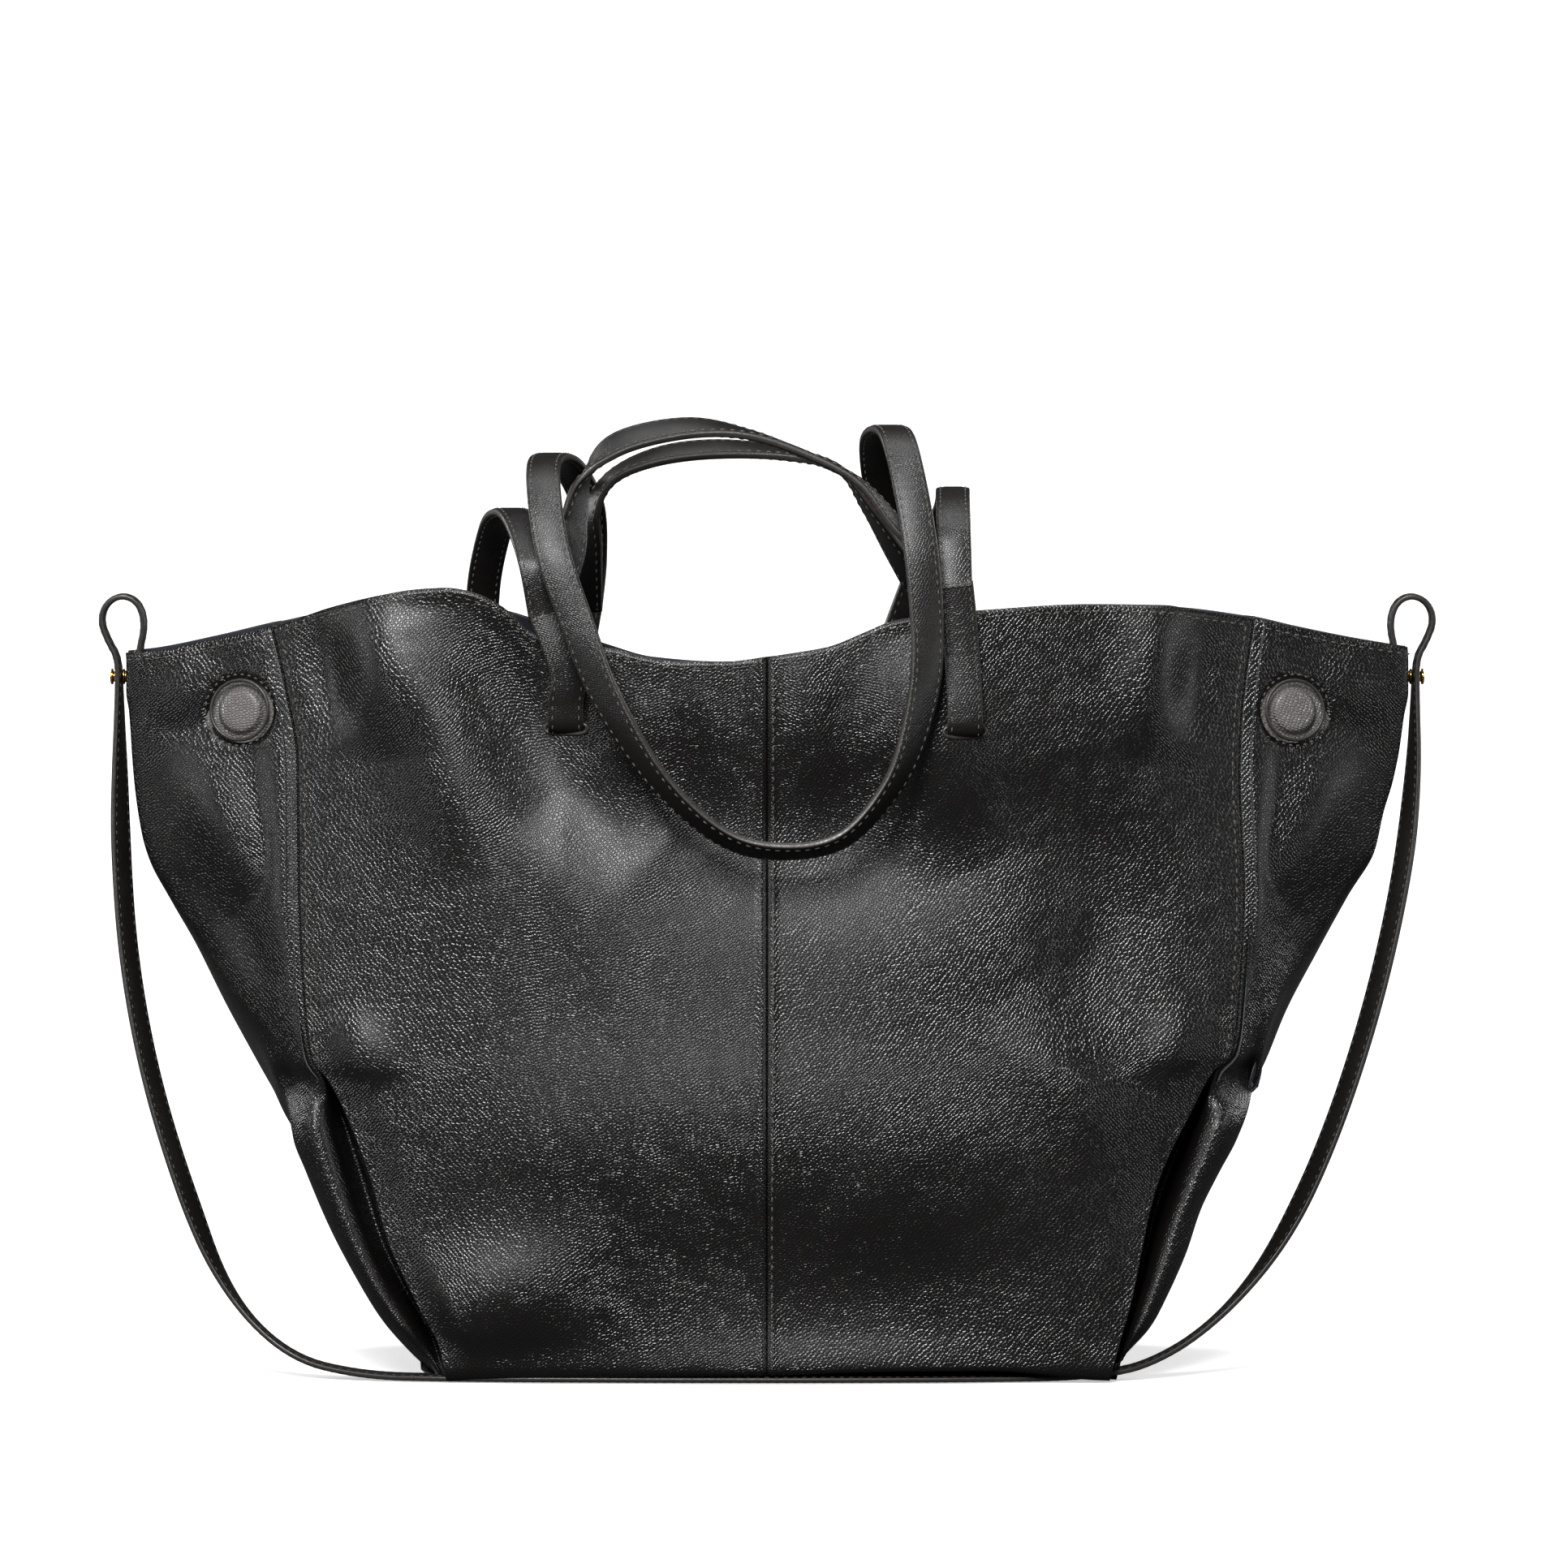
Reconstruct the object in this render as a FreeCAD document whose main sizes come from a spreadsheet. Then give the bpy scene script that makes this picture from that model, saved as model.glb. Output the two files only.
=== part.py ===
"""Winged leather tote bag with long and short strap handles, a shoulder strap and wing magnets.

Frame: millimetres, +Z up, X across the bag, the front faces -Y.  The origin is the middle of the base.
The base, board, magnets, covers and studs are PartDesign bodies bound to the sheet.  The leather walls and the
straps follow free curves, so they are Part features whose shapes are lofted from the same sheet.
"""
import FreeCAD
import Part
import Sketcher
import math
import os

from FreeCAD import Placement, Rotation, Vector

doc = FreeCAD.newDocument("tote_bag")

# ------------------------------------------------------------------ driving dimensions (millimetres, degrees)
SIZES = {
    # walls
    "base_width": 268, "base_depth": 148, "mouth_width": 526, "mouth_depth": 92,
    "flare_height": 250, "seam_top_span": 402, "seam_end_span": 376, "seam_end_height": 131,
    "seam_top_depth": 40, "tip_depth": 18, "corner_height": 297, "seam_height": 309,
    "crest_height": 322, "crest_place": 132, "right_crest_drop": 6, "dip_height": 293, "dip_half": 52,
    "corner_fall": 6, "leather": 2.4, "foot_spread": 4, "flare_power": 1.35, "shoulder_share": 0.62,
    "shoulder_inset": 2, "fold_inset": 12,
    "low_level": 45, "waist_level": 95, "upper_level": 170, "shoulder_level": 210, "above_crest": 8,
    # base
    "base_thickness": 5, "base_board": 2, "board_margin": 6,
    "channel_room": 8, "channel_place": 64,
    # magnets
    "magnet_place": 216, "magnet_height": 271, "magnet_radius": 7.4, "magnet_thickness": 2,
    "magnet_play": 0.1, "cover_wall": 1.25, "cover_roof": 1.6, "window_gap": 4.25, "flange_lap": 4,
    "flange_thickness": 1.2, "flange_clearance": 0.6,
    # handles
    "strap_width": 14, "strap_thickness": 3.2, "slit_place": 82, "slit_height": 265,
    "slit_opening": 16, "slit_play": 1.5, "tab_stand_off": 1.6, "tab_turn": 9, "tab_sink": 2,
    "hinge_clearance": 5.5,
    # shoulder strap
    "cord_width": 12, "cord_thickness": 2.4, "cord_play": 0.5,
    # studs
    "stud_height": 284, "stud_post_radius": 1.5, "head_lap": 1.9, "stud_head_length": 2.4,
    "collar_length": 2.5, "screw_lap": 1.7, "screw_head_length": 1.2, "post_play": 0.05, "post_reach": 12,
    # named clearances
    "seam_clearance": 0.3, "joint_gap": 2.5,
}

sheet = doc.addObject("Spreadsheet::Sheet", "sizes")
for row, (alias, value) in enumerate(SIZES.items(), start=1):
    sheet.set(f"A{row}", alias)
    sheet.set(f"B{row}", str(value))
    sheet.setAlias(f"B{row}", alias)
doc.recompute()


def size(alias):
    """The value of one named size in the sheet."""
    return float(getattr(sheet, alias))


nodes = []


# ------------------------------------------------------------------ PartDesign helpers
def new_body(label):
    """An empty body, kept as one node."""
    body = doc.addObject("PartDesign::Body", label)
    body.Label = label
    nodes.append(body)
    return body


def new_sketch(body, name, role="XY_Plane", lift=None):
    """A sketch on one of the body's own planes, lifted off it by an expression."""
    sketch = body.newObject("Sketcher::SketchObject", f"{body.Label}_{name}")
    plane = [feature for feature in body.Origin.OriginFeatures if feature.Role == role][0]
    sketch.AttachmentSupport = [(plane, "")]
    sketch.MapMode = "FlatFace"
    if lift:
        sketch.setExpression("AttachmentOffset.Base.z", lift)
    return sketch


def bind(sketch, constraint, expression):
    """Tie a sketch constraint to the sheet."""
    sketch.setExpression(f"Constraints[{constraint}]", expression)


def circle(sketch, radius):
    """A circle at the sketch's origin with its radius bound to an expression."""
    number = sketch.addGeometry(Part.Circle(Vector(0, 0, 0), Vector(0, 0, 1), 1.0), False)
    sketch.addConstraint(Sketcher.Constraint("Coincident", number, 3, -1, 1))
    bind(sketch, sketch.addConstraint(Sketcher.Constraint("Radius", number, 1.0)), radius)


def rectangle(sketch, width, depth, middle_y="0"):
    """A rectangle about (0, middle_y) with its sides bound to expressions."""
    corners = [Vector(-9, -9, 0), Vector(9, -9, 0), Vector(9, 9, 0), Vector(-9, 9, 0)]
    sides = [Part.LineSegment(corners[i], corners[(i + 1) % 4]) for i in range(4)]
    first = sketch.addGeometry(sides, False)[0]
    for i in range(4):
        sketch.addConstraint(Sketcher.Constraint("Coincident", first + i, 2, first + (i + 1) % 4, 1))
        kind = "Horizontal" if i % 2 == 0 else "Vertical"
        sketch.addConstraint(Sketcher.Constraint(kind, first + i))
    right = Sketcher.Constraint("DistanceX", -1, 1, first + 1, 1, 9)
    bind(sketch, sketch.addConstraint(right), f"({width}) / 2")
    across = Sketcher.Constraint("DistanceX", first, 1, first, 2, 18)
    bind(sketch, sketch.addConstraint(across), width)
    deep = Sketcher.Constraint("DistanceY", first + 1, 1, first + 1, 2, 18)
    bind(sketch, sketch.addConstraint(deep), depth)
    top = Sketcher.Constraint("DistanceY", -1, 1, first + 2, 1, 9)
    bind(sketch, sketch.addConstraint(top), f"({depth}) / 2 + ({middle_y})")


def pad(body, sketch, length):
    """Pad a sketch upwards by an expression."""
    feature = body.newObject("PartDesign::Pad", f"{sketch.Name}_pad")
    feature.Profile = sketch
    feature.setExpression("Length", length)
    doc.recompute()
    return feature


def pocket(body, sketch, length):
    """Cut a sketch upwards from its plane by an expression, and make sure that it cuts."""
    before = body.Shape.Volume
    feature = body.newObject("PartDesign::Pocket", f"{sketch.Name}_pocket")
    feature.Profile = sketch
    feature.Reversed = True
    feature.setExpression("Length", length)
    doc.recompute()
    if not body.Shape.Volume < before:
        raise RuntimeError(f"{feature.Name} cuts nothing")
    return feature


def new_feature(label, shape):
    """A lofted piece, kept as one node.  Its shape is set first, then its placement."""
    feature = doc.addObject("Part::Feature", label)
    feature.Label = label
    feature.Shape = shape
    feature.Placement = Placement()
    nodes.append(feature)
    return feature


# ------------------------------------------------------------------ the wall: rings of points, level by level
def flare(height):
    """Half the width of the bag's side fold at a height: it opens quickly and then stands upright."""
    foot, mouth = size("base_width") / 2 + size("foot_spread"), size("mouth_width") / 2
    rise = min(height / size("flare_height"), 1.0)
    return foot + (mouth - foot) * math.sin(math.pi / 2 * rise) ** size("flare_power")


def blend(start, end, share):
    """A value between two others."""
    return start + (end - start) * share


def seam(height):
    """(x, y) of the front side seam, or of the corner fold under the seam's end."""
    end = size("seam_end_height")
    foot, low = size("base_width") / 2, size("seam_end_span") / 2
    if height < end:
        x = blend(foot, low, height / end)
    else:
        x = blend(low, size("seam_top_span") / 2, (height - end) / (size("seam_height") - end))
    foot_y = size("base_depth") / 2 - size("shoulder_inset")
    y = blend(foot_y, size("seam_top_depth") / 2, height / size("seam_height"))
    return x, y


def belly(height):
    """How far the middle of the front wall stands in front of the bag's middle plane."""
    return blend(size("base_depth") / 2, size("mouth_depth") / 2, height / size("dip_height"))


def quarter(height):
    """Points of the outside from the middle of the front wall to the side fold, for x, y >= 0."""
    seam_x, seam_y = seam(height)
    middle = belly(height)
    shoulder = (size("shoulder_share") * seam_x, middle - size("shoulder_inset"))
    foot, tip = size("base_depth") / 2 - size("fold_inset"), size("tip_depth") / 2
    fold = blend(foot, tip, min(height / size("flare_height"), 1.0))
    return [(0, middle), shoulder, (seam_x, seam_y), (flare(height), fold)]


def ring(height):
    """Outside points all the way round, from the middle of the front, over the right, to the back."""
    right = quarter(height)
    front = [(x, -y) for x, y in right]
    back = [(x, y) for x, y in reversed(right)]
    left = [(-x, y) for x, y in reversed(back[:-1])]
    left_front = [(-x, -y) for x, y in reversed(right[1:])]
    return front + back + left + left_front


def inward(points, distance):
    """The closed outline moved inward by a distance, with mitred corners."""
    moved = []
    count = len(points)
    for i, point in enumerate(points):
        before, after = points[i - 1], points[(i + 1) % count]
        first = Vector(point[0] - before[0], point[1] - before[1], 0).normalize()
        second = Vector(after[0] - point[0], after[1] - point[1], 0).normalize()
        normal_1, normal_2 = Vector(-first.y, first.x, 0), Vector(-second.y, second.x, 0)
        bisector = (normal_1 + normal_2).normalize()
        reach = distance / bisector.dot(normal_1)
        moved.append((point[0] + bisector.x * reach, point[1] + bisector.y * reach))
    return moved


WALL_LEVELS = [size("base_thickness"), size("low_level"), size("waist_level"), size("seam_end_height"),
               size("upper_level"), size("shoulder_level"), size("flare_height"),
               size("crest_height") + size("above_crest")]
MIDDLE_FRONT, SEAM_RIGHT_FRONT, SEAM_RIGHT_BACK = 0, 2, 5
MIDDLE_BACK, SEAM_LEFT_BACK, SEAM_LEFT_FRONT = 7, 9, 12


def wall(first, last):
    """The wall between two corners of the ring, as one closed lofted solid."""
    sections = []
    for height in WALL_LEVELS:
        outside = ring(height)
        inside = inward(outside, size("leather"))
        count = len(outside)
        run = [i % count for i in range(first, last + 1)]
        corners = [Vector(*outside[i], height) for i in run]
        corners += [Vector(*inside[i], height) for i in reversed(run)]
        sections.append(Part.makePolygon(corners + corners[:1]))
    return Part.makeLoft(sections, True, True)


def mouth_cutter():
    """Everything above the top edge: it rises from the wing corners to a crest and dips in the middle."""
    wide, top = size("mouth_width"), 2 * size("crest_height")
    corner, seam_x = size("corner_height"), size("seam_top_span") / 2
    low = corner - size("corner_fall")
    crest_x, dip_x, dip = size("crest_place"), size("dip_half"), size("dip_height")
    edge = [(-wide, low), (-wide / 2, corner), (-seam_x, size("seam_height")), (-crest_x, size("crest_height")),
            (-dip_x, dip), (dip_x, dip), (crest_x, size("crest_height") - size("right_crest_drop")),
            (seam_x, size("seam_height")), (wide / 2, corner), (wide, low), (wide, top), (-wide, top)]
    face = Part.Face(Part.makePolygon([Vector(x, 0, z) for x, z in edge + edge[:1]]))
    face.translate(Vector(0, -size("base_depth"), 0))
    return face.extrude(Vector(0, 2 * size("base_depth"), 0))


def outside_y(x, height):
    """How far the outside of the wall is from the middle plane at a place on it."""
    for level, upper in zip(WALL_LEVELS, WALL_LEVELS[1:]):
        if height <= upper:
            share = (height - level) / (upper - level)
            corners = [(blend(a[0], b[0], share), blend(a[1], b[1], share))
                       for a, b in zip(quarter(level), quarter(upper))]
            break
    for (x_1, y_1), (x_2, y_2) in zip(corners, corners[1:]):
        if abs(x) <= x_2:
            return blend(y_1, y_2, (abs(x) - x_1) / (x_2 - x_1))
    return corners[-1][1]


# ------------------------------------------------------------------ ribbons: flat straps along smooth lines
def ribbon(points, widths, ends, width, thickness, steps=5):
    """A flat strap along a smooth line through the points, leaving and arriving in two given directions.

    widths holds the direction across the strap at each point.
    """
    knots = [Vector(*point) for point in points]
    leave = Vector(*ends[0]).normalize() * (knots[1] - knots[0]).Length
    arrive = Vector(*ends[1]).normalize() * (knots[-1] - knots[-2]).Length
    chords = [0.0]
    for before, after in zip(knots, knots[1:]):
        chords.append(chords[-1] + (after - before).Length)
    directions = [leave * (1 / leave.Length)]
    for before, after in zip(knots, knots[2:]):
        directions.append((after - before).normalize())
    directions.append(arrive * (1 / arrive.Length))
    curve = Part.BSplineCurve()
    curve.interpolate(Points=knots, Parameters=chords, Tangents=directions, TangentFlags=[True] * len(knots))
    sections = []
    for i in range(len(points) - 1):
        last = i == len(points) - 2
        for step in range(steps + (1 if last else 0)):
            share = step / steps
            place = blend(chords[i], chords[i + 1], share)
            across = Vector(*widths[i]) * (1 - share) + Vector(*widths[i + 1]) * share
            sections.append(section(curve.value(place), curve.tangent(place)[0], across, width, thickness))
    return Part.makeLoft(sections, True, True)


def section(middle, along, across, width, thickness):
    """A strap's rectangle across its line."""
    along = Vector(along).normalize()
    across = (across - along * across.dot(along)).normalize() * (width / 2)
    through = along.cross(across).normalize() * (thickness / 2)
    corners = [middle + across + through, middle - across + through,
               middle - across - through, middle + across - through]
    return Part.makePolygon(corners + corners[:1])


def handle_ribbon(label, points, widths, ends):
    """One strap of a handle as a node."""
    return new_feature(label, ribbon(points, widths, ends, size("strap_width"), size("strap_thickness")))


# ------------------------------------------------------------------ leather walls
def make_walls():
    """Four panels meeting at the middle seams, and two gussets between the side seams."""
    cutter = mouth_cutter()
    spans = {
        "front_panel_right": (MIDDLE_FRONT, SEAM_RIGHT_FRONT),
        "right_gusset": (SEAM_RIGHT_FRONT, SEAM_RIGHT_BACK),
        "back_panel_right": (SEAM_RIGHT_BACK, MIDDLE_BACK),
        "back_panel_left": (MIDDLE_BACK, SEAM_LEFT_BACK),
        "left_gusset": (SEAM_LEFT_BACK, SEAM_LEFT_FRONT),
        "front_panel_left": (SEAM_LEFT_FRONT, MIDDLE_FRONT + len(ring(0))),
    }
    for label, (first, last) in spans.items():
        shape = wall(first, last).cut(cutter)
        side = 1 if "right" in label else -1
        if "panel" in label:
            shape = shape.cut(slit_cutter(side, -1 if "front" in label else 1))
        else:
            shape = shape.cut(window_cutter(side, -1)).cut(window_cutter(side, 1))
            shape = shape.cut(post_hole(side))
        new_feature(label, shape)


def slit_cutter(side, face):
    """The opening that a tab is folded through."""
    wide = size("strap_width") + 2 * size("slit_play")
    box = Part.makeBox(wide, size("base_depth") / 2, size("slit_opening"))
    near = 0 if face > 0 else -size("base_depth") / 2
    low = size("slit_height") - size("slit_opening") / 2
    box.translate(Vector(side * size("slit_place") - wide / 2, near, low))
    return box


def magnet_placement(side, face):
    """The place of a magnet cover: its origin is on the wall's inside, with +Z pointing out of the bag."""
    x, height, reach = size("magnet_place"), size("magnet_height"), size("magnet_radius")
    near = Vector(side * x, face * outside_y(x, height), height)
    beside = Vector(side * (x + reach), face * outside_y(x + reach, height), height)
    above = Vector(side * x, face * outside_y(x, height + reach), height + reach)
    normal = (beside - near).cross(above - near).normalize()
    if normal.y * face < 0:
        normal = normal * -1
    inside = near - normal * (size("leather") + size("flange_clearance"))
    return Placement(inside, Rotation(Vector(0, 0, 1), normal))


def window_cutter(side, face):
    """The round window in the wall over a magnet cover."""
    reach = 3 * size("leather")
    radius = size("magnet_radius") + size("magnet_play") + size("cover_wall") + size("window_gap")
    tool = Part.makeCylinder(radius, 2 * reach, Vector(0, 0, -reach / 2))
    tool.Placement = magnet_placement(side, face)
    return tool


def post_hole(side):
    """The hole in the wing's end for the stud's post."""
    radius, reach = size("stud_post_radius") + size("post_play"), size("post_reach")
    start = Vector(side * (size("mouth_width") / 2 - reach), 0, size("stud_height"))
    return Part.makeCylinder(radius, 2 * reach, start, Vector(side, 0, 0))


# ------------------------------------------------------------------ base
def make_base():
    """The base that the bag stands on, with a shallow channel for the strap, and the board inside."""
    body = new_body("base_panel")
    outline = new_sketch(body, "outline")
    rectangle(outline, "sizes.base_width", "sizes.base_depth")
    pad(body, outline, "sizes.base_thickness")
    channel = new_sketch(body, "channel")
    channel_width = "sizes.cord_width + 2 * sizes.channel_room"
    rectangle(channel, "sizes.base_width + 2 * sizes.channel_room", channel_width, "-sizes.channel_place")
    pocket(body, channel, "sizes.cord_thickness + sizes.cord_play")
    board = new_body("base_board")
    outline = new_sketch(board, "outline")
    rectangle(outline, "sizes.base_width - 2 * (sizes.leather + sizes.board_margin)",
              "sizes.base_depth - 2 * (sizes.leather + sizes.board_margin)")
    pad(board, outline, "sizes.base_board")
    board.setExpression("Placement.Base.z", "sizes.base_thickness + sizes.seam_clearance")


# ------------------------------------------------------------------ magnets
def make_magnets():
    """A domed leather cover behind each window, holding one magnet."""
    dome_radius = "sizes.magnet_radius + sizes.magnet_play + sizes.cover_wall"
    cavity = "sizes.magnet_thickness + 2 * sizes.magnet_play"
    for side, side_name in ((-1, "left"), (1, "right")):
        for face, face_name in ((-1, "front"), (1, "back")):
            place = magnet_placement(side, face)
            cover = new_body(f"magnet_cover_{face_name}_{side_name}")
            flange = new_sketch(cover, "flange", lift="-sizes.flange_thickness")
            circle(flange, f"{dome_radius} + sizes.window_gap + sizes.flange_lap")
            pad(cover, flange, "sizes.flange_thickness")
            dome = new_sketch(cover, "dome")
            circle(dome, dome_radius)
            pad(cover, dome, f"{cavity} + sizes.cover_roof")
            hollow = new_sketch(cover, "hollow", lift="-sizes.flange_thickness")
            circle(hollow, "sizes.magnet_radius + sizes.magnet_play")
            pocket(cover, hollow, f"sizes.flange_thickness + {cavity}")
            cover.Placement = place
            magnet = new_body(f"magnet_{face_name}_{side_name}")
            disc = new_sketch(magnet, "disc", lift="sizes.magnet_play")
            circle(disc, "sizes.magnet_radius")
            pad(magnet, disc, "sizes.magnet_thickness")
            magnet.Placement = place


# ------------------------------------------------------------------ studs
def stud_start(side):
    """Where the outer face of the wing's end meets the stud's line."""
    return Vector(side * flare(size("stud_height")), 0, size("stud_height"))


def stud_rotation(side):
    """Turns a body's +Z outwards along the stud's line."""
    return Rotation(Vector(0, 0, 1), Vector(side, 0, 0))


def make_studs():
    """A headed post, the collar between strap and wing, and the screw inside the wing, on each side."""
    for side, name in ((-1, "left"), (1, "right")):
        place = Placement(stud_start(side), stud_rotation(side))
        inner = "-(sizes.leather + 2 * sizes.seam_clearance + sizes.cord_thickness)"
        neck = "sizes.cord_thickness + sizes.cord_play"
        outer = f"sizes.seam_clearance + sizes.collar_length + {neck}"
        head_radius = "sizes.stud_post_radius + sizes.head_lap"
        post = new_body(f"{name}_stud_post")
        shaft = new_sketch(post, "shaft", lift=f"{inner}")
        circle(shaft, "sizes.stud_post_radius")
        pad(post, shaft, f"{outer} - ({inner})")
        head = new_sketch(post, "head", lift=outer)
        circle(head, head_radius)
        pad(post, head, "sizes.stud_head_length")
        post.Placement = place
        collar = new_body(f"{name}_stud_collar")
        ring_sketch = new_sketch(collar, "ring", lift="sizes.seam_clearance")
        circle(ring_sketch, head_radius)
        circle(ring_sketch, "sizes.stud_post_radius + sizes.post_play")
        pad(collar, ring_sketch, "sizes.collar_length")
        collar.Placement = place
        screw = new_body(f"{name}_stud_screw")
        disc = new_sketch(screw, "disc", lift=f"{inner} - sizes.screw_head_length")
        circle(disc, "sizes.stud_post_radius + sizes.screw_lap")
        pad(screw, disc, "sizes.screw_head_length")
        screw.Placement = place


# ------------------------------------------------------------------ handles
ACROSS, DEEP = (1, 0, 0), (0, 1, 0)
UP, DOWN = (0, 0, 1), (0, 0, -1)
# How far each tab's top leans outwards from its slit, and how far above the slit it ends.
TAB_REACHES = {("front", "left"): (7, 46), ("front", "right"): (-5, 57),
               ("back", "left"): (-6, 47), ("back", "right"): (-12, 47)}


def tab_points(face_name, side_name):
    """A tab's line: down the outside, through the slit, and up the inside."""
    lean, reach = TAB_REACHES[face_name, side_name]
    side, face = (-1 if side_name == "left" else 1), (-1 if face_name == "front" else 1)
    off = size("strap_thickness") / 2 + size("tab_stand_off")
    slit, height, turn = side * size("slit_place"), size("slit_height"), size("tab_turn")
    top_x, top_height = slit + side * lean, height + reach
    middle, rise = blend(slit, top_x, 0.5), blend(height, top_height, 0.5)

    def at(x, z, offset):
        """A point at a distance from the wall's outside."""
        return (x, face * (outside_y(x, z) + offset), z)

    inner = -(off + size("leather"))
    return [at(top_x, top_height, off), at(middle, rise, off), at(slit, height + turn, off),
            at(slit, height - size("tab_sink"), -size("leather") / 2),
            at(slit, height + turn, inner), at(middle, rise, inner), at(top_x, top_height, inner)]


def make_tabs():
    """The four strap tabs, each folded through its slit."""
    for face_name, side_name in TAB_REACHES:
        points = tab_points(face_name, side_name)
        handle_ribbon(f"{face_name}_tab_{side_name}", points, [ACROSS] * len(points), (DOWN, UP))


def moved(point, direction, distance):
    """A point moved along a direction."""
    place = Vector(*point) + Vector(*direction).normalize() * distance
    return (place.x, place.y, place.z)


# The bends that the long handles' hanging loops turn about: the point, and the strap's direction going down.
FRONT_BENDS = {"left": ((-91, -42, 364), (0.1, -0.75, -0.65)), "right": ((55, -40, 377), (0.12, -0.7, -0.7))}
BACK_BENDS = {"left": ((-113, 30, 344), (-0.2, 0.7, -0.6)), "right": ((76, 42, 352), (-0.25, 0.85, -0.45))}


def make_long_handle(name, bends, legs, drop, drop_widths):
    """A long handle: a leg stands on each tab and bends over, and the drop hangs between the bends."""
    tab_face = "back" if name == "front" else "front"
    clear = size("hinge_clearance")
    for side_name, line in legs.items():
        bend, down = bends[side_name]
        foot = moved(tab_points(tab_face, side_name)[0], UP, size("seam_clearance"))
        points = [foot] + line + [moved(bend, down, -clear)]
        handle_ribbon(f"{name}_drop_{side_name}_leg", points, [ACROSS] * len(points), (UP, down))
    (left, left_down), (right, right_down) = bends["left"], bends["right"]
    points = [moved(left, left_down, clear)] + drop + [moved(right, right_down, clear)]
    up_again = tuple(-value for value in right_down)
    handle_ribbon(f"{name}_drop", points, [ACROSS] + drop_widths + [ACROSS], (left_down, up_again))


def make_short_handle(name, line, widths):
    """A short handle: an arch between the inner ends of its two tabs."""
    gap = size("joint_gap")
    feet = [moved(tab_points(name, side)[-1], UP, gap) for side in ("left", "right")]
    points = [feet[0]] + line + [feet[1]]
    handle_ribbon(f"{name}_short_handle", points, [ACROSS] + widths + [ACROSS], (UP, DOWN))


def make_handles():
    """Two long handles, crossing over the mouth and hanging outside it, and two short ones."""
    make_long_handle(
        "front", FRONT_BENDS,
        {"left": [(-74, 50, 332), (-76, 42, 353), (-84, 16, 371), (-91, -16, 374)],
         "right": [(62, 50, 330), (50, 44, 356), (45, 20, 380), (51, -14, 387)]},
        [(-87, -57, 338), (-77, -62, 311), (-62, -65, 275), (-42, -68, 242), (-16, -70, 221), (6, -71, 216),
         (32, -70, 222), (52, -67, 246), (62, -64, 270), (65, -61, 298), (61, -56, 340)],
        [ACROSS, ACROSS, (1, -0.5, 0.2), (0.7, -1, 0.2), (0.3, -1, 0.1), (0, -1, 0), (-0.1, -1, 0),
         (0.4, -1, 0), (0.8, -0.7, 0), (1, -0.4, 0), ACROSS])
    make_long_handle(
        "back", BACK_BENDS,
        {"left": [(-95, -42, 333), (-103, -18, 349), (-108, 4, 352)],
         "right": [(76, -40, 346), (76, -18, 359), (76, 8, 361)]},
        [(-119, 56, 318), (-118, 62, 290), (-102, 66, 256), (-74, 69, 230), (-38, 71, 218), (0, 71, 222),
         (26, 71, 242), (44, 72, 272), (58, 71, 308), (69, 63, 336)],
        [ACROSS, (1, 0.3, 0), (1, 0.7, 0.2), (0.5, 1, 0), (0, 1, 0), (-0.2, 1, 0), (0.5, 1, 0), (0.9, 0.6, 0),
         (1, 0.3, 0), ACROSS])
    make_short_handle(
        "front",
        [(-81, -28, 334), (-79, -25, 352), (-72, -23, 372), (-55, -22, 382), (-30, -22, 386), (-4, -22, 382),
         (20, -22, 374), (40, -23, 362), (56, -25, 344)],
        [(1, 0.5, 0), (0.7, 1, 0), (0.3, 1, 0.2), (0, 1, 0.4), (0, 1, 0.3), (0, 1, 0), (0, 1, 0), (0.3, 1, 0),
         (0.7, 1, 0)])
    make_short_handle(
        "back",
        [(-74, 28, 336), (-71, 22, 352), (-60, 18, 365), (-42, 16, 374), (-15, 16, 378), (12, 16, 375),
         (32, 17, 366), (42, 20, 350), (56, 26, 332)],
        [(1, -0.5, 0), (0.6, -1, 0), (0.2, -1, 0), (0, -1, -0.3), (0, -1, -0.3), (0, -1, 0), (0, -1, 0),
         (0.3, -1, 0), (0.7, -0.8, 0)])


# ------------------------------------------------------------------ shoulder strap
# The strap's line, chosen point by point: from inside the left wing, over its corner, down through the stud,
# hanging and then lying on the floor, under the front of the base, and the same way up on the right.
HALF_ROUTE = [
    (259.3, 0, 281), (259.2, 0, 293), (256.3, 0, 305.5), (258.8, 0, 314.5), (265.5, 0, 317.8),
    (272.3, 0, 314.5), (274.8, 0, 307), (271.5, 0, 298.5), (267.4, 0, 291.5), (267.2, 0, 276),
]
LEFT_HANG = [
    (-267, -2, 252), (-266.5, -6, 213), (-263, -13, 168), (-254, -22, 122), (-240, -32, 78), (-222, -41, 34),
    (-196, -49, 8), (-165, -56, 1.2),
]
UNDER_BASE = [(-128, -63, 1.2), (-75, -66, 1.2), (0, -67.5, 1.2), (72, -66, 1.2), (139, -59, 1.2)]
RIGHT_HANG = [
    (165, -52, 9.5), (190, -44, 28), (212, -36, 56), (232, -28, 98), (250, -18, 152), (262, -10, 205),
    (266.4, -4, 245),
]
STRAP_ROUTE = ([(-x, y, z) for x, y, z in HALF_ROUTE] + LEFT_HANG + UNDER_BASE + RIGHT_HANG
               + list(reversed(HALF_ROUTE)))


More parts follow.
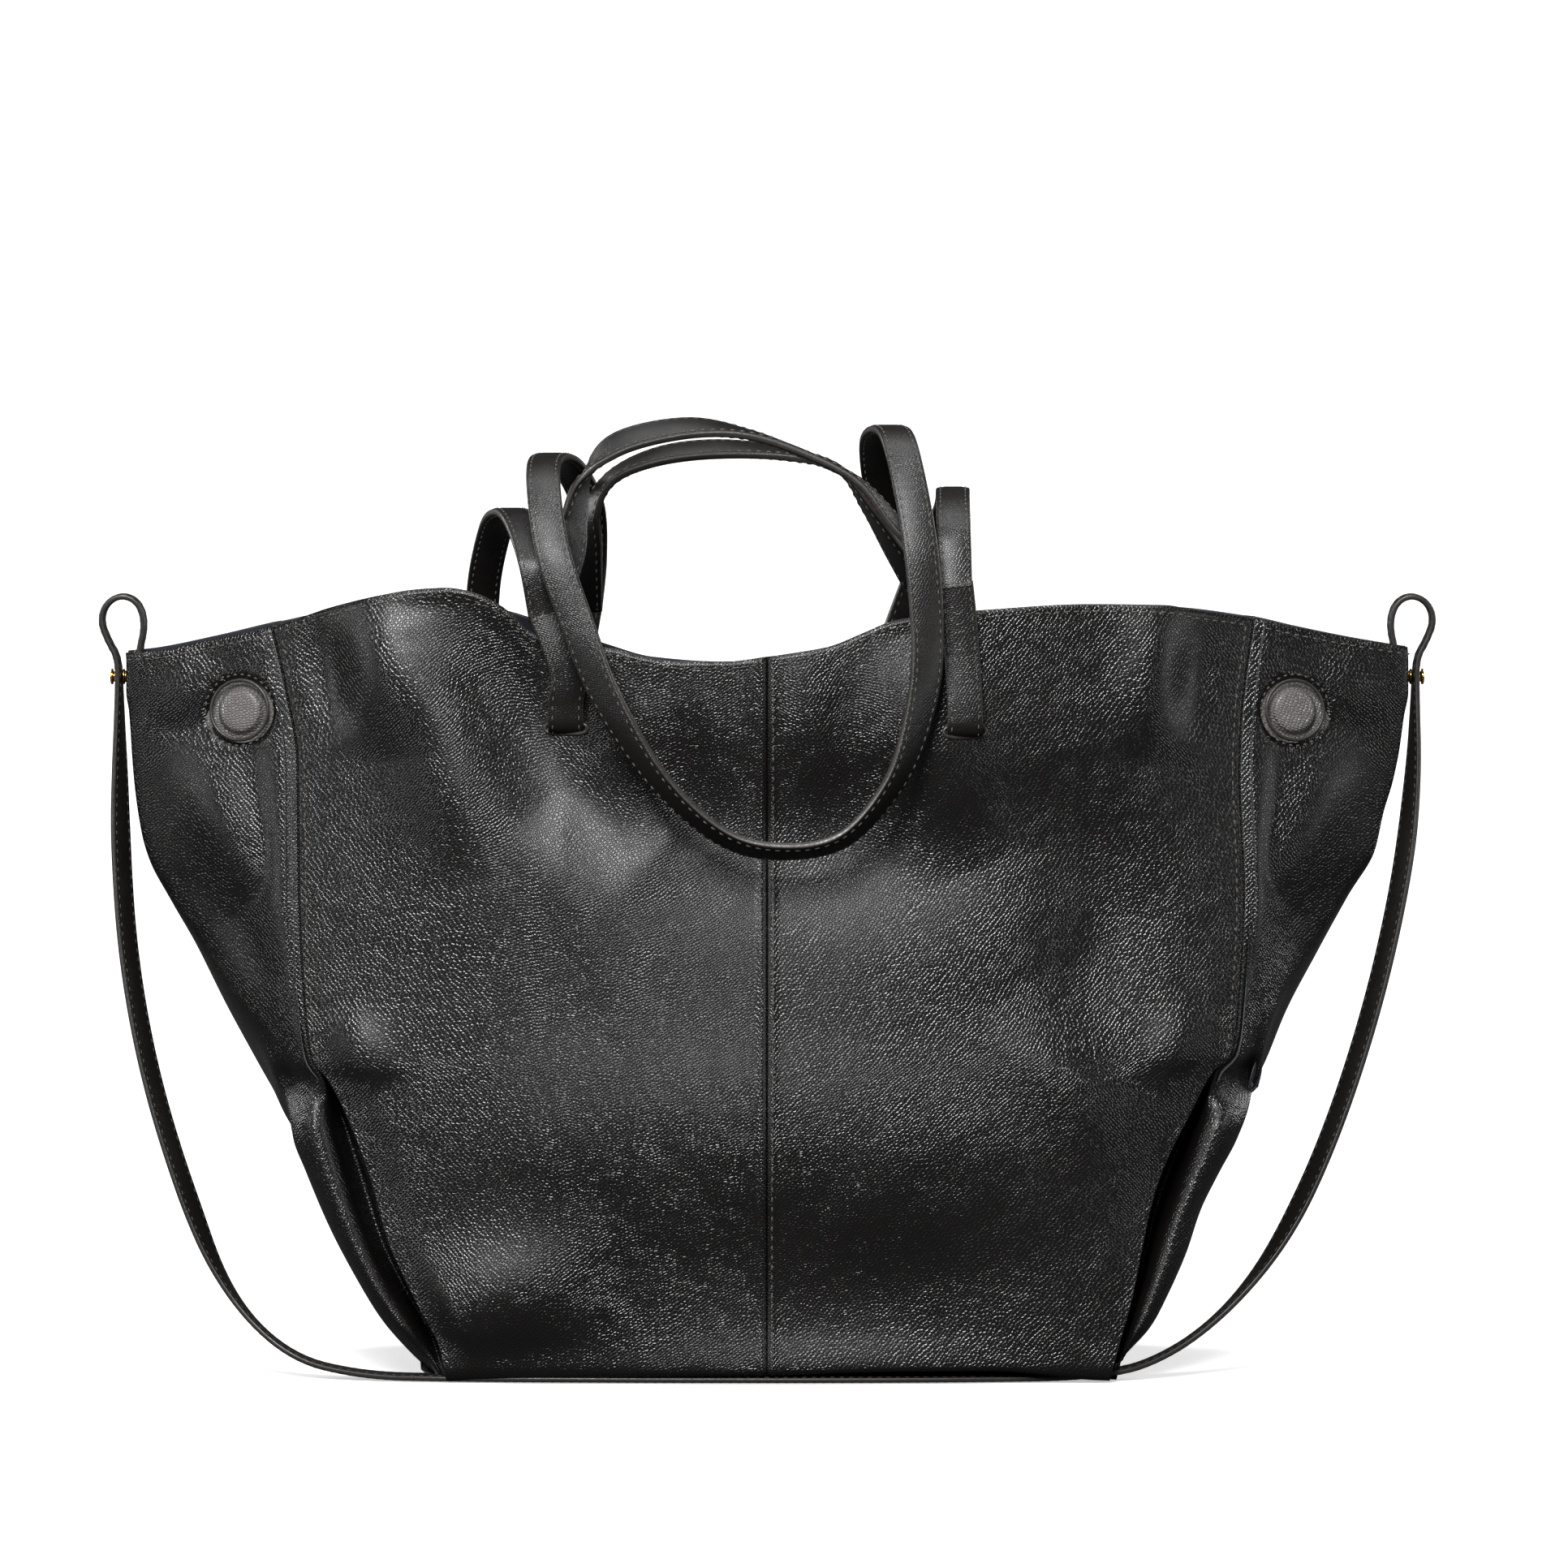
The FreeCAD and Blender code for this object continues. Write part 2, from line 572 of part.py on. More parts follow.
def cord_path(route):
    """Straight runs joined by tangent arcs as large as the runs allow: (start, arc or None) pieces."""
    points = [Vector(*point) for point in route]
    edges, radii, start = [], [], points[0]
    for before, corner, after in zip(points, points[1:], points[2:]):
        first, second = corner - before, after - corner
        turn = first.getAngle(second)
        cut = 0.45 * min(first.Length, second.Length)
        radii.append(cut / math.tan(turn / 2))
        enter = corner - first.normalize() * cut
        leave = corner + second.normalize() * cut
        bisector = (enter - corner).normalize() + (leave - corner).normalize()
        reach = math.hypot(cut, radii[-1]) - radii[-1]
        middle = corner + bisector.normalize() * reach
        edges.append(Part.LineSegment(start, enter).toShape())
        edges.append(Part.Arc(enter, middle, leave).toShape())
        start = leave
    edges.append(Part.LineSegment(start, points[-1]).toShape())
    return Part.Wire(edges), radii


def make_shoulder_strap():
    """The flat strap along its route, with holes where the studs pin it."""
    wire, radii = cord_path(STRAP_ROUTE)
    print("shoulder strap radii (mm):", ", ".join(f"{radius:.1f}" for radius in radii))
    width, thickness = size("cord_width"), size("cord_thickness")
    sections = []
    for edge in wire.OrderedEdges:
        first, last = edge.FirstParameter, edge.LastParameter
        steps = 1 if isinstance(edge.Curve, Part.Line) else 3
        for step in range(steps):
            place = blend(first, last, step / steps)
            middle, along = edge.valueAt(place), edge.tangentAt(place)
            sections.append(section(middle, along, Vector(*DEEP), width, thickness))
    end = edge.LastParameter
    sections.append(section(edge.valueAt(end), edge.tangentAt(end), Vector(*DEEP), width, thickness))
    shape = Part.makeLoft(sections, True, True)
    expected = wire.Length * width * thickness
    print(f"shoulder strap: {wire.Length:.0f} mm long, {shape.Volume / expected:.3f} of section times length")
    new_feature("shoulder_strap", shape.cut(post_hole(-1)).cut(post_hole(1)))


# ------------------------------------------------------------------ build, check and write
make_walls()
make_base()
make_magnets()
make_studs()
make_tabs()
make_handles()
make_shoulder_strap()
doc.recompute()

for item in doc.Objects:
    if any(state in ("Invalid", "Error") for state in item.State):
        raise RuntimeError(f"{item.Label} failed to build: {item.State}")
for node in nodes:
    if node.Shape.isNull() or not node.Shape.isValid() or not node.Shape.Solids:
        raise RuntimeError(f"{node.Label} has no valid solid")

os.makedirs("parts", exist_ok=True)
for node in nodes:
    node.Shape.exportStep(f"parts/{node.Label}.step")
    box = node.Shape.BoundBox
    print(f"{node.Label}: {len(node.Shape.Solids)} solid(s), x {box.XMin:.1f}..{box.XMax:.1f}, "
          f"y {box.YMin:.1f}..{box.YMax:.1f}, z {box.ZMin:.1f}..{box.ZMax:.1f}")
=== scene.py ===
"""A winged leather tote bag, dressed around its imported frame.

The shell is lofted: each panel and gusset is one sheet whose every point comes from the bag's outlines, its
depth and its soft folds.  Sizes in the classes are in millimetres; meshes are written in metres.
"""
import logging
import math
from bisect import bisect_right
from dataclasses import dataclass, field
from enum import Enum
from typing import Callable, Iterable, Sequence

import bmesh
import bpy
import numpy as np
from mathutils import Matrix, Vector


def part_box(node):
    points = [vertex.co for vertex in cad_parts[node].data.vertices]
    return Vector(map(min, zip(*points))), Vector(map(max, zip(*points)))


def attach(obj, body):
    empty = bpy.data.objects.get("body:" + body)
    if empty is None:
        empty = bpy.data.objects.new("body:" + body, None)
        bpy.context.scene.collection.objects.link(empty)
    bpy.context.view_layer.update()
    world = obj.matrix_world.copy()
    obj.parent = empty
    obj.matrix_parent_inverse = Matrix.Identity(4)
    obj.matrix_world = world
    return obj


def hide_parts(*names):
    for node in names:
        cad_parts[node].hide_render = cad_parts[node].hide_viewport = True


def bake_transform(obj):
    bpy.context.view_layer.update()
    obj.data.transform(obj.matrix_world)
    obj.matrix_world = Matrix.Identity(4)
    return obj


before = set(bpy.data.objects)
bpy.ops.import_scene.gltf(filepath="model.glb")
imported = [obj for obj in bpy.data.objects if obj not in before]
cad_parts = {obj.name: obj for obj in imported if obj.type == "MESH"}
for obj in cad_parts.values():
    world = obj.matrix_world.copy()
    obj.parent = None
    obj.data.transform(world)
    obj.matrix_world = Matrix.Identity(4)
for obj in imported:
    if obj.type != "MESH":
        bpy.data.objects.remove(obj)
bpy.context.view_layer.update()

log = logging.getLogger("tote")
MM = 0.001
Point = tuple[float, float, float]
Colour = tuple[float, float, float]


class Face(Enum):
    """Which way a wall of the bag faces: the value is the sign of its Y."""

    FRONT = -1
    BACK = 1


class Side(Enum):
    """Which half of the bag a piece is on: the value is the sign of its X."""

    LEFT = -1
    RIGHT = 1


# ---------------------------------------------------------------------------------------------- curves
@dataclass(frozen=True)
class Profile:
    """A smooth line through a few (place, value) pairs, which never overshoots them."""

    pairs: tuple[tuple[float, float], ...]

    def at(self, place: float) -> float:
        """The line's value at a place.

        Args:
            place: Where to read the line.

        Returns:
            The value, level past both ends.
        """
        pairs = self.pairs
        if place <= pairs[0][0]:
            return pairs[0][1]
        if place >= pairs[-1][0]:
            return pairs[-1][1]
        i = bisect_right([pair[0] for pair in pairs], place) - 1
        (x0, y0), (x1, y1) = pairs[i], pairs[i + 1]
        span = x1 - x0
        share = (place - x0) / span
        first, last = self.slope(i), self.slope(i + 1)
        a = 2 * share ** 3 - 3 * share ** 2 + 1
        b = share ** 3 - 2 * share ** 2 + share
        c = share ** 3 - share ** 2
        return a * y0 + b * span * first + (1 - a) * y1 + c * span * last

    def slope(self, i: int) -> float:
        """The line's slope at one of its points, zero at a peak so that it can't overshoot.

        Args:
            i: The point's number.

        Returns:
            The slope there.
        """
        pairs = self.pairs
        if i == 0 or i == len(pairs) - 1:
            j = min(i, len(pairs) - 2)
            return (pairs[j + 1][1] - pairs[j][1]) / (pairs[j + 1][0] - pairs[j][0])
        before = (pairs[i][1] - pairs[i - 1][1]) / (pairs[i][0] - pairs[i - 1][0])
        after = (pairs[i + 1][1] - pairs[i][1]) / (pairs[i + 1][0] - pairs[i][0])
        if before * after <= 0:
            return 0.0
        return 2 * before * after / (before + after)


def mix(first: float, second: float, share: float) -> float:
    """A value between two others."""
    return first + (second - first) * share


def smooth(value: float) -> float:
    """An eased 0 to 1 step of a value held to that range."""
    value = min(max(value, 0.0), 1.0)
    return value * value * (3 - 2 * value)


def spline(points: Sequence[Sequence[float]], place: float) -> np.ndarray:
    """A point on the smooth line through some points.

    Args:
        points: The points that the line goes through.
        place: 0 at the first point, 1 at the second, and so on.

    Returns:
        The point at that place.
    """
    last = len(points) - 1
    i = min(int(place), last - 1)
    share = place - i
    p1, p2 = np.array(points[i], float), np.array(points[i + 1], float)
    p0 = np.array(points[i - 1], float) if i else 2 * p1 - p2
    p3 = np.array(points[i + 2], float) if i + 2 <= last else 2 * p2 - p1
    return 0.5 * (2 * p1 + (p2 - p0) * share + (2 * p0 - 5 * p1 + 4 * p2 - p3) * share ** 2
                  + (3 * p1 - p0 - 3 * p2 + p3) * share ** 3)


# ---------------------------------------------------------------------------------------------- meshes
def new_piece(name: str, shape: bmesh.types.BMesh, body: str, finishes: Sequence[str],
              replaced: Sequence[str] = (), rides: bool = True) -> bpy.types.Object:
    """Turn a bmesh into a finished piece of the bag.

    Args:
        name: The piece's name.
        shape: Its shape, in metres; it is freed here.
        body: The CAD body that it rides on.
        finishes: Names of its materials, in slot order.
        replaced: CAD nodes that it stands for.
        rides: False for a piece that is left off every body.

    Returns:
        The new object.
    """
    mesh = bpy.data.meshes.new(name)
    for polygon in shape.faces:
        polygon.smooth = True
    shape.to_mesh(mesh)
    shape.free()
    piece = bpy.data.objects.new(name, mesh)
    bpy.context.scene.collection.objects.link(piece)
    for finish in finishes:
        mesh.materials.append(bpy.data.materials[finish])
    if rides:
        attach(piece, body)
    if replaced:
        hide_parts(*replaced)
    log.info("%s: %d faces on %s", name, len(mesh.polygons), body)
    return piece


def lofted(columns: int, rows: int, place: Callable[[float, float], Sequence[float]],
           closed: bool = False) -> bmesh.types.BMesh:
    """A sheet whose points come from a function of two shares.

    Args:
        columns: Faces across.
        rows: Faces along.
        place: Gives a point in millimetres from a share across and a share along, each 0 to 1.
        closed: True where the last column meets the first.

    Returns:
        The sheet as a bmesh, with a UV layer in metres measured along the sheet, from its middle.
    """
    grid = np.array([[place(i / columns, j / rows) for i in range(columns + 1)]
                     for j in range(rows + 1)]) * MM
    across = np.zeros(grid.shape[:2])
    across[:, 1:] = np.linalg.norm(np.diff(grid, axis=1), axis=2).cumsum(axis=1)
    across -= across[:, columns // 2][:, None]
    along = np.zeros(grid.shape[:2])
    along[1:] = np.linalg.norm(np.diff(grid, axis=0), axis=2).mean(axis=1).cumsum()[:, None]

    def cell(vertex: bmesh.types.BMVert) -> tuple[int, int]:
        """The row and column of a vertex of the plain grid."""
        return round((vertex.co.y + 0.5) * rows), round((vertex.co.x + 0.5) * columns)

    shape = bmesh.new()
    layer = shape.loops.layers.uv.new("grain")
    bmesh.ops.create_grid(shape, x_segments=columns, y_segments=rows, size=0.5)
    for polygon in shape.faces:
        for corner in polygon.loops:
            spot = cell(corner.vert)
            corner[layer].uv = (across[spot], along[spot])
    for vertex in shape.verts:
        vertex.co = grid[cell(vertex)]
    if closed:
        bmesh.ops.remove_doubles(shape, verts=shape.verts, dist=1e-6)
    return shape


def close_ends(shape: bmesh.types.BMesh) -> None:
    """Cap a tube's open ends and turn its faces outwards."""
    rim = [edge for edge in shape.edges if edge.is_boundary]
    bmesh.ops.holes_fill(shape, edges=rim, sides=0)
    bmesh.ops.recalc_face_normals(shape, faces=shape.faces)


@dataclass(frozen=True)
class Stitch:
    """One visible stretch of thread: its middle, its direction and the way out of the leather."""

    middle: Vector
    along: Vector
    out: Vector


@dataclass(frozen=True)
class Thread:
    """The thread's sizes, in millimetres."""

    length: float = 2.9
    width: float = 0.85
    height: float = 0.42
    sink: float = 0.05

    def sew(self, stitches: Iterable[Stitch]) -> bmesh.types.BMesh:
        """Lay one short rounded stretch of thread for each stitch.

        Args:
            stitches: Where the stretches lie.

        Returns:
            All of them in one bmesh, in metres.
        """
        sewn = bmesh.new()
        for stitch in stitches:
            made = bmesh.ops.create_icosphere(sewn, subdivisions=1, radius=0.5)
            along = stitch.along.normalized()
            out = (stitch.out - along * stitch.out.dot(along)).normalized()
            across = along.cross(out)
            turn = Matrix((along, across, out)).transposed().to_4x4()
            grow = Matrix.Diagonal((self.length, self.width, self.height * 2, 1))
            place = Matrix.Translation(stitch.middle + out * self.sink)
            bmesh.ops.transform(sewn, matrix=Matrix.Scale(MM, 4) @ place @ turn @ grow, verts=made["verts"])
        return sewn


def evenly(line: Sequence[Vector], pitch: float, inset: float = 0.0) -> list[tuple[Vector, Vector]]:
    """Places a pitch apart along a line of points.

    Args:
        line: Points close together along it.
        pitch: The distance between places.
        inset: How far from each end the places stay.

    Returns:
        (place, direction) pairs.
    """
    found: list[tuple[Vector, Vector]] = []
    total = sum((b - a).length for a, b in zip(line, line[1:]))
    goal, passed = inset + pitch / 2, 0.0
    for a, b in zip(line, line[1:]):
        step = (b - a).length
        while step > 0 and passed + step >= goal and goal <= total - inset:
            found.append((a.lerp(b, (goal - passed) / step), (b - a).normalized()))
            goal += pitch
        passed += step
    return found


# ---------------------------------------------------------------------------------------------- materials
class Nodes:
    """Builds a node tree: adds nodes, sets their sockets and links them."""

    def __init__(self, tree: bpy.types.NodeTree) -> None:
        """Keep the tree that nodes are added to."""
        self.tree = tree

    def add(self, kind: str, settings: dict | None = None, **sockets: object) -> bpy.types.Node:
        """Add a node.

        Args:
            kind: The node's type, without its "ShaderNode" beginning.
            settings: Properties of the node itself.
            sockets: What its inputs get, as in feed.

        Returns:
            The node.
        """
        node = self.tree.nodes.new(kind if kind.startswith("Node") else "ShaderNode" + kind)
        for name, value in (settings or {}).items():
            setattr(node, name, value)
        self.feed(node, **sockets)
        return node

    def feed(self, node: bpy.types.Node, **sockets: object) -> None:
        """Set a node's inputs.

        Args:
            node: The node.
            sockets: Inputs by name, with underscores for spaces, or i and a number: a value, or an
                output to link.
        """
        for name, value in sockets.items():
            socket = node.inputs[int(name[1:])] if name[1:].isdigit() else node.inputs[name.replace("_", " ")]
            if isinstance(value, bpy.types.NodeSocket):
                self.tree.links.new(value, socket)
            else:
                socket.default_value = value

    def math(self, operation: str, first: object, second: object = 0.0,
             third: object = 0.0) -> bpy.types.NodeSocket:
        """The result of a Math node on up to three inputs."""
        return self.add("Math", {"operation": operation}, i0=first, i1=second, i2=third).outputs[0]

    def ramp(self, value: bpy.types.NodeSocket, low: float, high: float, first: float = 0.0,
             last: float = 1.0) -> bpy.types.NodeSocket:
        """A smooth step of a value from low to high, put out between first and last."""
        node = self.add("MapRange", {"interpolation_type": "SMOOTHSTEP"}, Value=value, From_Min=low,
                        From_Max=high, To_Min=first, To_Max=last)
        return node.outputs[0]

    def tint(self, share: bpy.types.NodeSocket, first: object, second: object) -> bpy.types.NodeSocket:
        """A colour between two, each an RGB tuple or an output."""
        ends = [(*end, 1) if isinstance(end, tuple) else end for end in (first, second)]
        return self.add("Mix", {"data_type": "RGBA"}, Factor=share, i6=ends[0], i7=ends[1]).outputs[2]

    def noise(self, place: bpy.types.NodeSocket, scale: float, detail: float,
              rough: float = 0.5) -> bpy.types.NodeSocket:
        """A noise between 0 and 1."""
        return self.add("TexNoise", Vector=place, Scale=scale, Detail=detail, Roughness=rough).outputs["Fac"]

    def bump(self, height: bpy.types.NodeSocket, distance: float,
             strength: float = 1.0) -> bpy.types.NodeSocket:
        """A normal raised by a height between 0 and 1, over a distance in metres."""
        return self.add("Bump", Strength=strength, Distance=distance, Height=height).outputs[0]

    def object_place(self) -> bpy.types.NodeSocket:
        """A place in the object's own coordinates."""
        return self.add("TexCoord").outputs["Object"]


def new_group(name: str, inputs: dict[str, float | None], outputs: Sequence[str]
              ) -> tuple[Nodes, bpy.types.Node, bpy.types.Node]:
    """Start a shader node group.

    Args:
        name: The group's name.
        inputs: Each input's name and default, or None for a vector.
        outputs: Names of the outputs, all plain numbers.

    Returns:
        (node builder, group input node, group output node).
    """
    group = bpy.data.node_groups.new(name, "ShaderNodeTree")
    for label, default in inputs.items():
        kind = "Vector" if default is None else "Float"
        socket = group.interface.new_socket(label, in_out="INPUT", socket_type=f"NodeSocket{kind}")
        if default is not None:
            socket.default_value = default
    for label in outputs:
        group.interface.new_socket(label, in_out="OUTPUT", socket_type="NodeSocketFloat")
    nodes = Nodes(group)
    return nodes, nodes.add("NodeGroupInput"), nodes.add("NodeGroupOutput")


def grain_group() -> None:
    """Pressed cross-hatch grain: irregular pillows in slanting rows, from the sheet's own coordinates."""
    inputs = {"Vector": None, "Cell": 0.0015, "Turn": 0.6, "Wander": 0.5}
    nodes, given, out = new_group("pressed_grain", inputs, ("Height", "Crease", "Cloud"))
    source = given.outputs["Vector"]
    drift = nodes.add("TexNoise", Vector=source, Scale=38.0, Detail=2.0)
    centred = nodes.add("VectorMath", {"operation": "SUBTRACT"}, i0=drift.outputs["Color"],
                        i1=(0.5, 0.5, 0.5))
    scaled = nodes.add("VectorMath", {"operation": "SCALE"}, i0=centred.outputs[0],
                       Scale=nodes.math("MULTIPLY", given.outputs["Wander"], 0.012))
    moved = nodes.add("VectorMath", {"operation": "ADD"}, i0=source, i1=scaled.outputs[0])
    turned_rows = nodes.add("VectorRotate", {"rotation_type": "Z_AXIS"}, Vector=moved.outputs[0],
                            Angle=given.outputs["Turn"])
    stretched = nodes.add("VectorMath", {"operation": "MULTIPLY"}, i0=turned_rows.outputs[0],
                          i1=(1.0, 1.45, 1.0))
    per_metre = nodes.math("DIVIDE", 1.0, given.outputs["Cell"])
    edges, tone = (nodes.add("TexVoronoi", {"voronoi_dimensions": "2D", "feature": feature}, Randomness=0.62,
                             Vector=stretched.outputs[0], Scale=per_metre)
                   for feature in ("DISTANCE_TO_EDGE", "F1"))
    pillow = nodes.ramp(edges.outputs["Distance"], 0.0, 0.34)
    uneven = nodes.math("MULTIPLY_ADD", tone.outputs["Color"], 0.35, 0.8)
    fine = nodes.noise(source, 2600.0, 2.0)
    nodes.feed(out, Height=nodes.math("MULTIPLY_ADD", fine, 0.12, nodes.math("MULTIPLY", pillow, uneven)),
               Crease=nodes.ramp(edges.outputs["Distance"], 0.0, 0.12, 1.0, 0.0),
               Cloud=nodes.noise(source, 14.0, 4.0, 0.6))


def wear_group() -> None:
    """Rubbed places: patches of fine scuffs where handling has polished a surface."""
    nodes, given, out = new_group("rubbed_places", {"Vector": None, "Amount": 0.5}, ("Mask",))
    place = given.outputs["Vector"]
    patch = nodes.ramp(nodes.noise(place, 23.0, 3.0), 0.48, 0.72)
    scuffs = nodes.ramp(nodes.noise(place, 420.0, 4.0, 0.7), 0.4, 0.7)
    both = nodes.math("MULTIPLY", patch, scuffs)
    nodes.feed(out, Mask=nodes.math("MULTIPLY", both, given.outputs["Amount"]))


def new_material(name: str) -> tuple[Nodes, bpy.types.Node]:
    """Start a material.

    Args:
        name: The material's name.

    Returns:
        (node builder, its Principled BSDF).
    """
    material = bpy.data.materials.new(name)
    material.use_nodes = True
    return Nodes(material.node_tree), material.node_tree.nodes["Principled BSDF"]


@dataclass(frozen=True)
class LeatherFinish:
    """Grained black leather with a satin finish; its patterns follow the sheet's own coordinates."""

    name: str
    deep: Colour = (0.003, 0.0027, 0.0026)
    high: Colour = (0.0075, 0.0063, 0.0057)
    # The colour that the grain's creases are painted with: painted shade.
    crease_shade_colour: Colour = (0.0015, 0.0014, 0.0014)
    cell: float = 0.0016
    turn: float = 0.62
    wander: float = 0.5
    relief: float = 0.00011
    rough: tuple[float, float] = (0.22, 0.28)
    coat: float = 0.1
    rubbed: float = 0.12

    def make(self) -> None:
        """Build the material."""
        nodes, surface = new_material(self.name)
        grain = nodes.add("Group", {"node_tree": bpy.data.node_groups["pressed_grain"]}, Cell=self.cell,
                          Vector=nodes.add("UVMap", {"uv_map": "grain"}).outputs[0], Turn=self.turn,
                          Wander=self.wander)
        wear = nodes.add("Group", {"node_tree": bpy.data.node_groups["rubbed_places"]},
                         Vector=nodes.object_place(), Amount=self.rubbed)
        crease, cloud = grain.outputs["Crease"], grain.outputs["Cloud"]
        # The base colour is darker in the grain's creases: painted shade.
        colour = nodes.tint(nodes.math("MULTIPLY", crease, 0.7), nodes.tint(cloud, self.deep, self.high),
                            self.crease_shade_colour)
        worn = nodes.math("SUBTRACT", nodes.ramp(cloud, 0.3, 0.7, *self.rough),
                          nodes.math("MULTIPLY", wear.outputs["Mask"], 0.12))
        nodes.feed(surface, Base_Color=colour, Roughness=nodes.math("MULTIPLY_ADD", crease, 0.1, worn),
                   Normal=nodes.bump(grain.outputs["Height"], self.relief), Coat_Weight=self.coat,
                   Coat_Roughness=0.3, Specular_IOR_Level=0.5)


@dataclass(frozen=True)
class NoiseFinish:
    """A surface whose tone follows a broad noise, and its roughness and relief a fine one.

    A noise is (scale, detail, roughness); relief is (distance in metres, strength).
    """

    name: str
    colour: Colour
    shade: float
    broad: tuple[float, ...]
    fine: tuple[float, ...]
    steps: tuple[float, float]
    rough: tuple[float, float]
    relief: tuple[float, float]
    specular: float = 0.5
    sheen: float = 0.0

    def make(self) -> None:
        """Build the material."""
        nodes, surface = new_material(self.name)
        place = nodes.object_place()
        fine = nodes.noise(place, *self.fine)
        darker = tuple(part * self.shade for part in self.colour)
        nodes.feed(surface, Base_Color=nodes.tint(nodes.noise(place, *self.broad), darker, self.colour),
                   Roughness=nodes.ramp(fine, *self.steps, *self.rough),
                   Normal=nodes.bump(fine, *self.relief),
                   Sheen_Weight=self.sheen, Specular_IOR_Level=self.specular)


@dataclass(frozen=True)
class ThreadFinish:
    """Waxed twisted black thread."""

    name: str = "waxed_thread"
    colour: Colour = (0.13, 0.115, 0.1)

    def make(self) -> None:
        """Build the material."""
        nodes, surface = new_material(self.name)
        twist = nodes.add("TexWave", {"bands_direction": "DIAGONAL"}, Vector=nodes.object_place(),
                          Scale=900.0, Distortion=1.5).outputs["Fac"]
        darker = tuple(part * 0.4 for part in self.colour)
        nodes.feed(surface, Base_Color=nodes.tint(twist, darker, self.colour),
                   Roughness=nodes.ramp(twist, 0.0, 1.0, 0.55, 0.4), Normal=nodes.bump(twist, 0.0001, 0.7))


@dataclass(frozen=True)
class MetalFinish:
    """Plated metal with fine turning marks."""

    name: str
    colour: Colour
    rough: float

    def make(self) -> None:
        """Build the material."""
        nodes, surface = new_material(self.name)
        place = nodes.object_place()
        squeezed = nodes.add("Mapping", Vector=place, Scale=(9000.0, 300.0, 300.0)).outputs[0]
        duller = tuple(part * 0.72 for part in self.colour)
        nodes.feed(surface, Base_Color=nodes.tint(nodes.noise(place, 500.0, 3.0), self.colour, duller),
                   Roughness=nodes.ramp(nodes.noise(squeezed, 1.0, 2.0), 0.3, 0.7, self.rough * 0.7,
                                        self.rough * 1.5), Metallic=1.0)


BODY = LeatherFinish("grained_wall")
STRAP = LeatherFinish("grained_strap", cell=0.0012, rough=(0.3, 0.37), relief=0.00007,
                      high=(0.012, 0.01, 0.0088))
# The magnet covers are the same black leather as the walls; their much paler base colours are a painted
# highlight of the light that the domes catch.
PAINTED_HIGHLIGHT_COVER = LeatherFinish("grained_cover", cell=0.0016, turn=0.15, wander=0.2, relief=0.0003, rough=(0.24, 0.32),
                      deep=(0.1, 0.094, 0.09), high=(0.27, 0.255, 0.245), coat=0.25)
EDGE = NoiseFinish("painted_edge", (0.035, 0.031, 0.028), shade=0.6, broad=(120.0, 2.0), fine=(900.0, 3.0),
                   steps=(0.3, 0.7), rough=(0.28, 0.46), relief=(0.00008, 0.6))
SUEDE = NoiseFinish("suede_inside", (0.018, 0.02, 0.03), shade=0.55, broad=(45.0, 3.0),
                    fine=(1800.0, 4.0, 0.7), steps=(0.2, 0.8), rough=(0.8, 0.98), relief=(0.00025, 0.8),
                    specular=0.2, sheen=0.35)
BOARD = NoiseFinish("pressed_board", (0.02, 0.019, 0.02), shade=0.5, broad=(700.0, 5.0), fine=(700.0, 5.0),
                    steps=(0.2, 0.8), rough=(0.65, 0.9), relief=(0.0002, 0.5))
SEWN = ThreadFinish()
GOLD = MetalFinish("gold_plate", (0.83, 0.56, 0.2), 0.16)
STEEL = MetalFinish("plated_steel", (0.5, 0.5, 0.52), 0.3)
WALL_FINISHES = (BODY.name, SUEDE.name, EDGE.name)


# ---------------------------------------------------------------------------------------------- shell
FOLD_ROOM = 2.6
FADE_POWER = 1.1


@dataclass
class Fold:
    """A soft ridge or hollow of a wall, along a bent line of (x, z) places; it fades out at both ends."""

    line: tuple[tuple[float, float], ...]
    height: float
    width: float
    reach: tuple[float, ...] = field(init=False)
    legs: list[tuple[float, ...]] = field(init=False)
    whole: float = field(init=False)

    def __post_init__(self) -> None:
        """Work out the fold's legs and how far it is felt."""
        xs, zs = zip(*self.line)
        room = FOLD_ROOM * self.width
        self.reach = (min(xs) - room, max(xs) + room, min(zs) - room, max(zs) + room)
        lengths = [math.dist(a, b) for a, b in zip(self.line, self.line[1:])]
        passed = [sum(lengths[:i]) / sum(lengths) for i in range(len(lengths))]
        self.legs = [(*a, b[0] - a[0], b[1] - a[1], length, start)
                     for a, b, length, start in zip(self.line, self.line[1:], lengths, passed)]
        self.whole = sum(lengths)

    def at(self, x: float, z: float) -> float:
        """How far the fold moves the wall outwards at a place."""
        if not (self.reach[0] < x < self.reach[1] and self.reach[2] < z < self.reach[3]):
            return 0.0
        nearest, along = 1e9, 0.0
        for from_x, from_z, run_x, run_z, length, start in self.legs:
            share = ((x - from_x) * run_x + (z - from_z) * run_z) / length ** 2
            share = min(max(share, 0.0), 1.0)
            away = (x - from_x - share * run_x) ** 2 + (z - from_z - share * run_z) ** 2
            if away < nearest:
                nearest, along = away, start + share * length / self.whole
        fade = max(math.sin(math.pi * along), 0.0) ** FADE_POWER
        return self.height * fade * math.exp(-nearest / self.width ** 2)


@dataclass(frozen=True)
class Outline:
    """One half's outlines, as |x| by height: the seam with the pleat's edge, the roll and the side fold."""

    seam: Profile
    roll_in: Profile
    roll_out: Profile
    tip: Profile


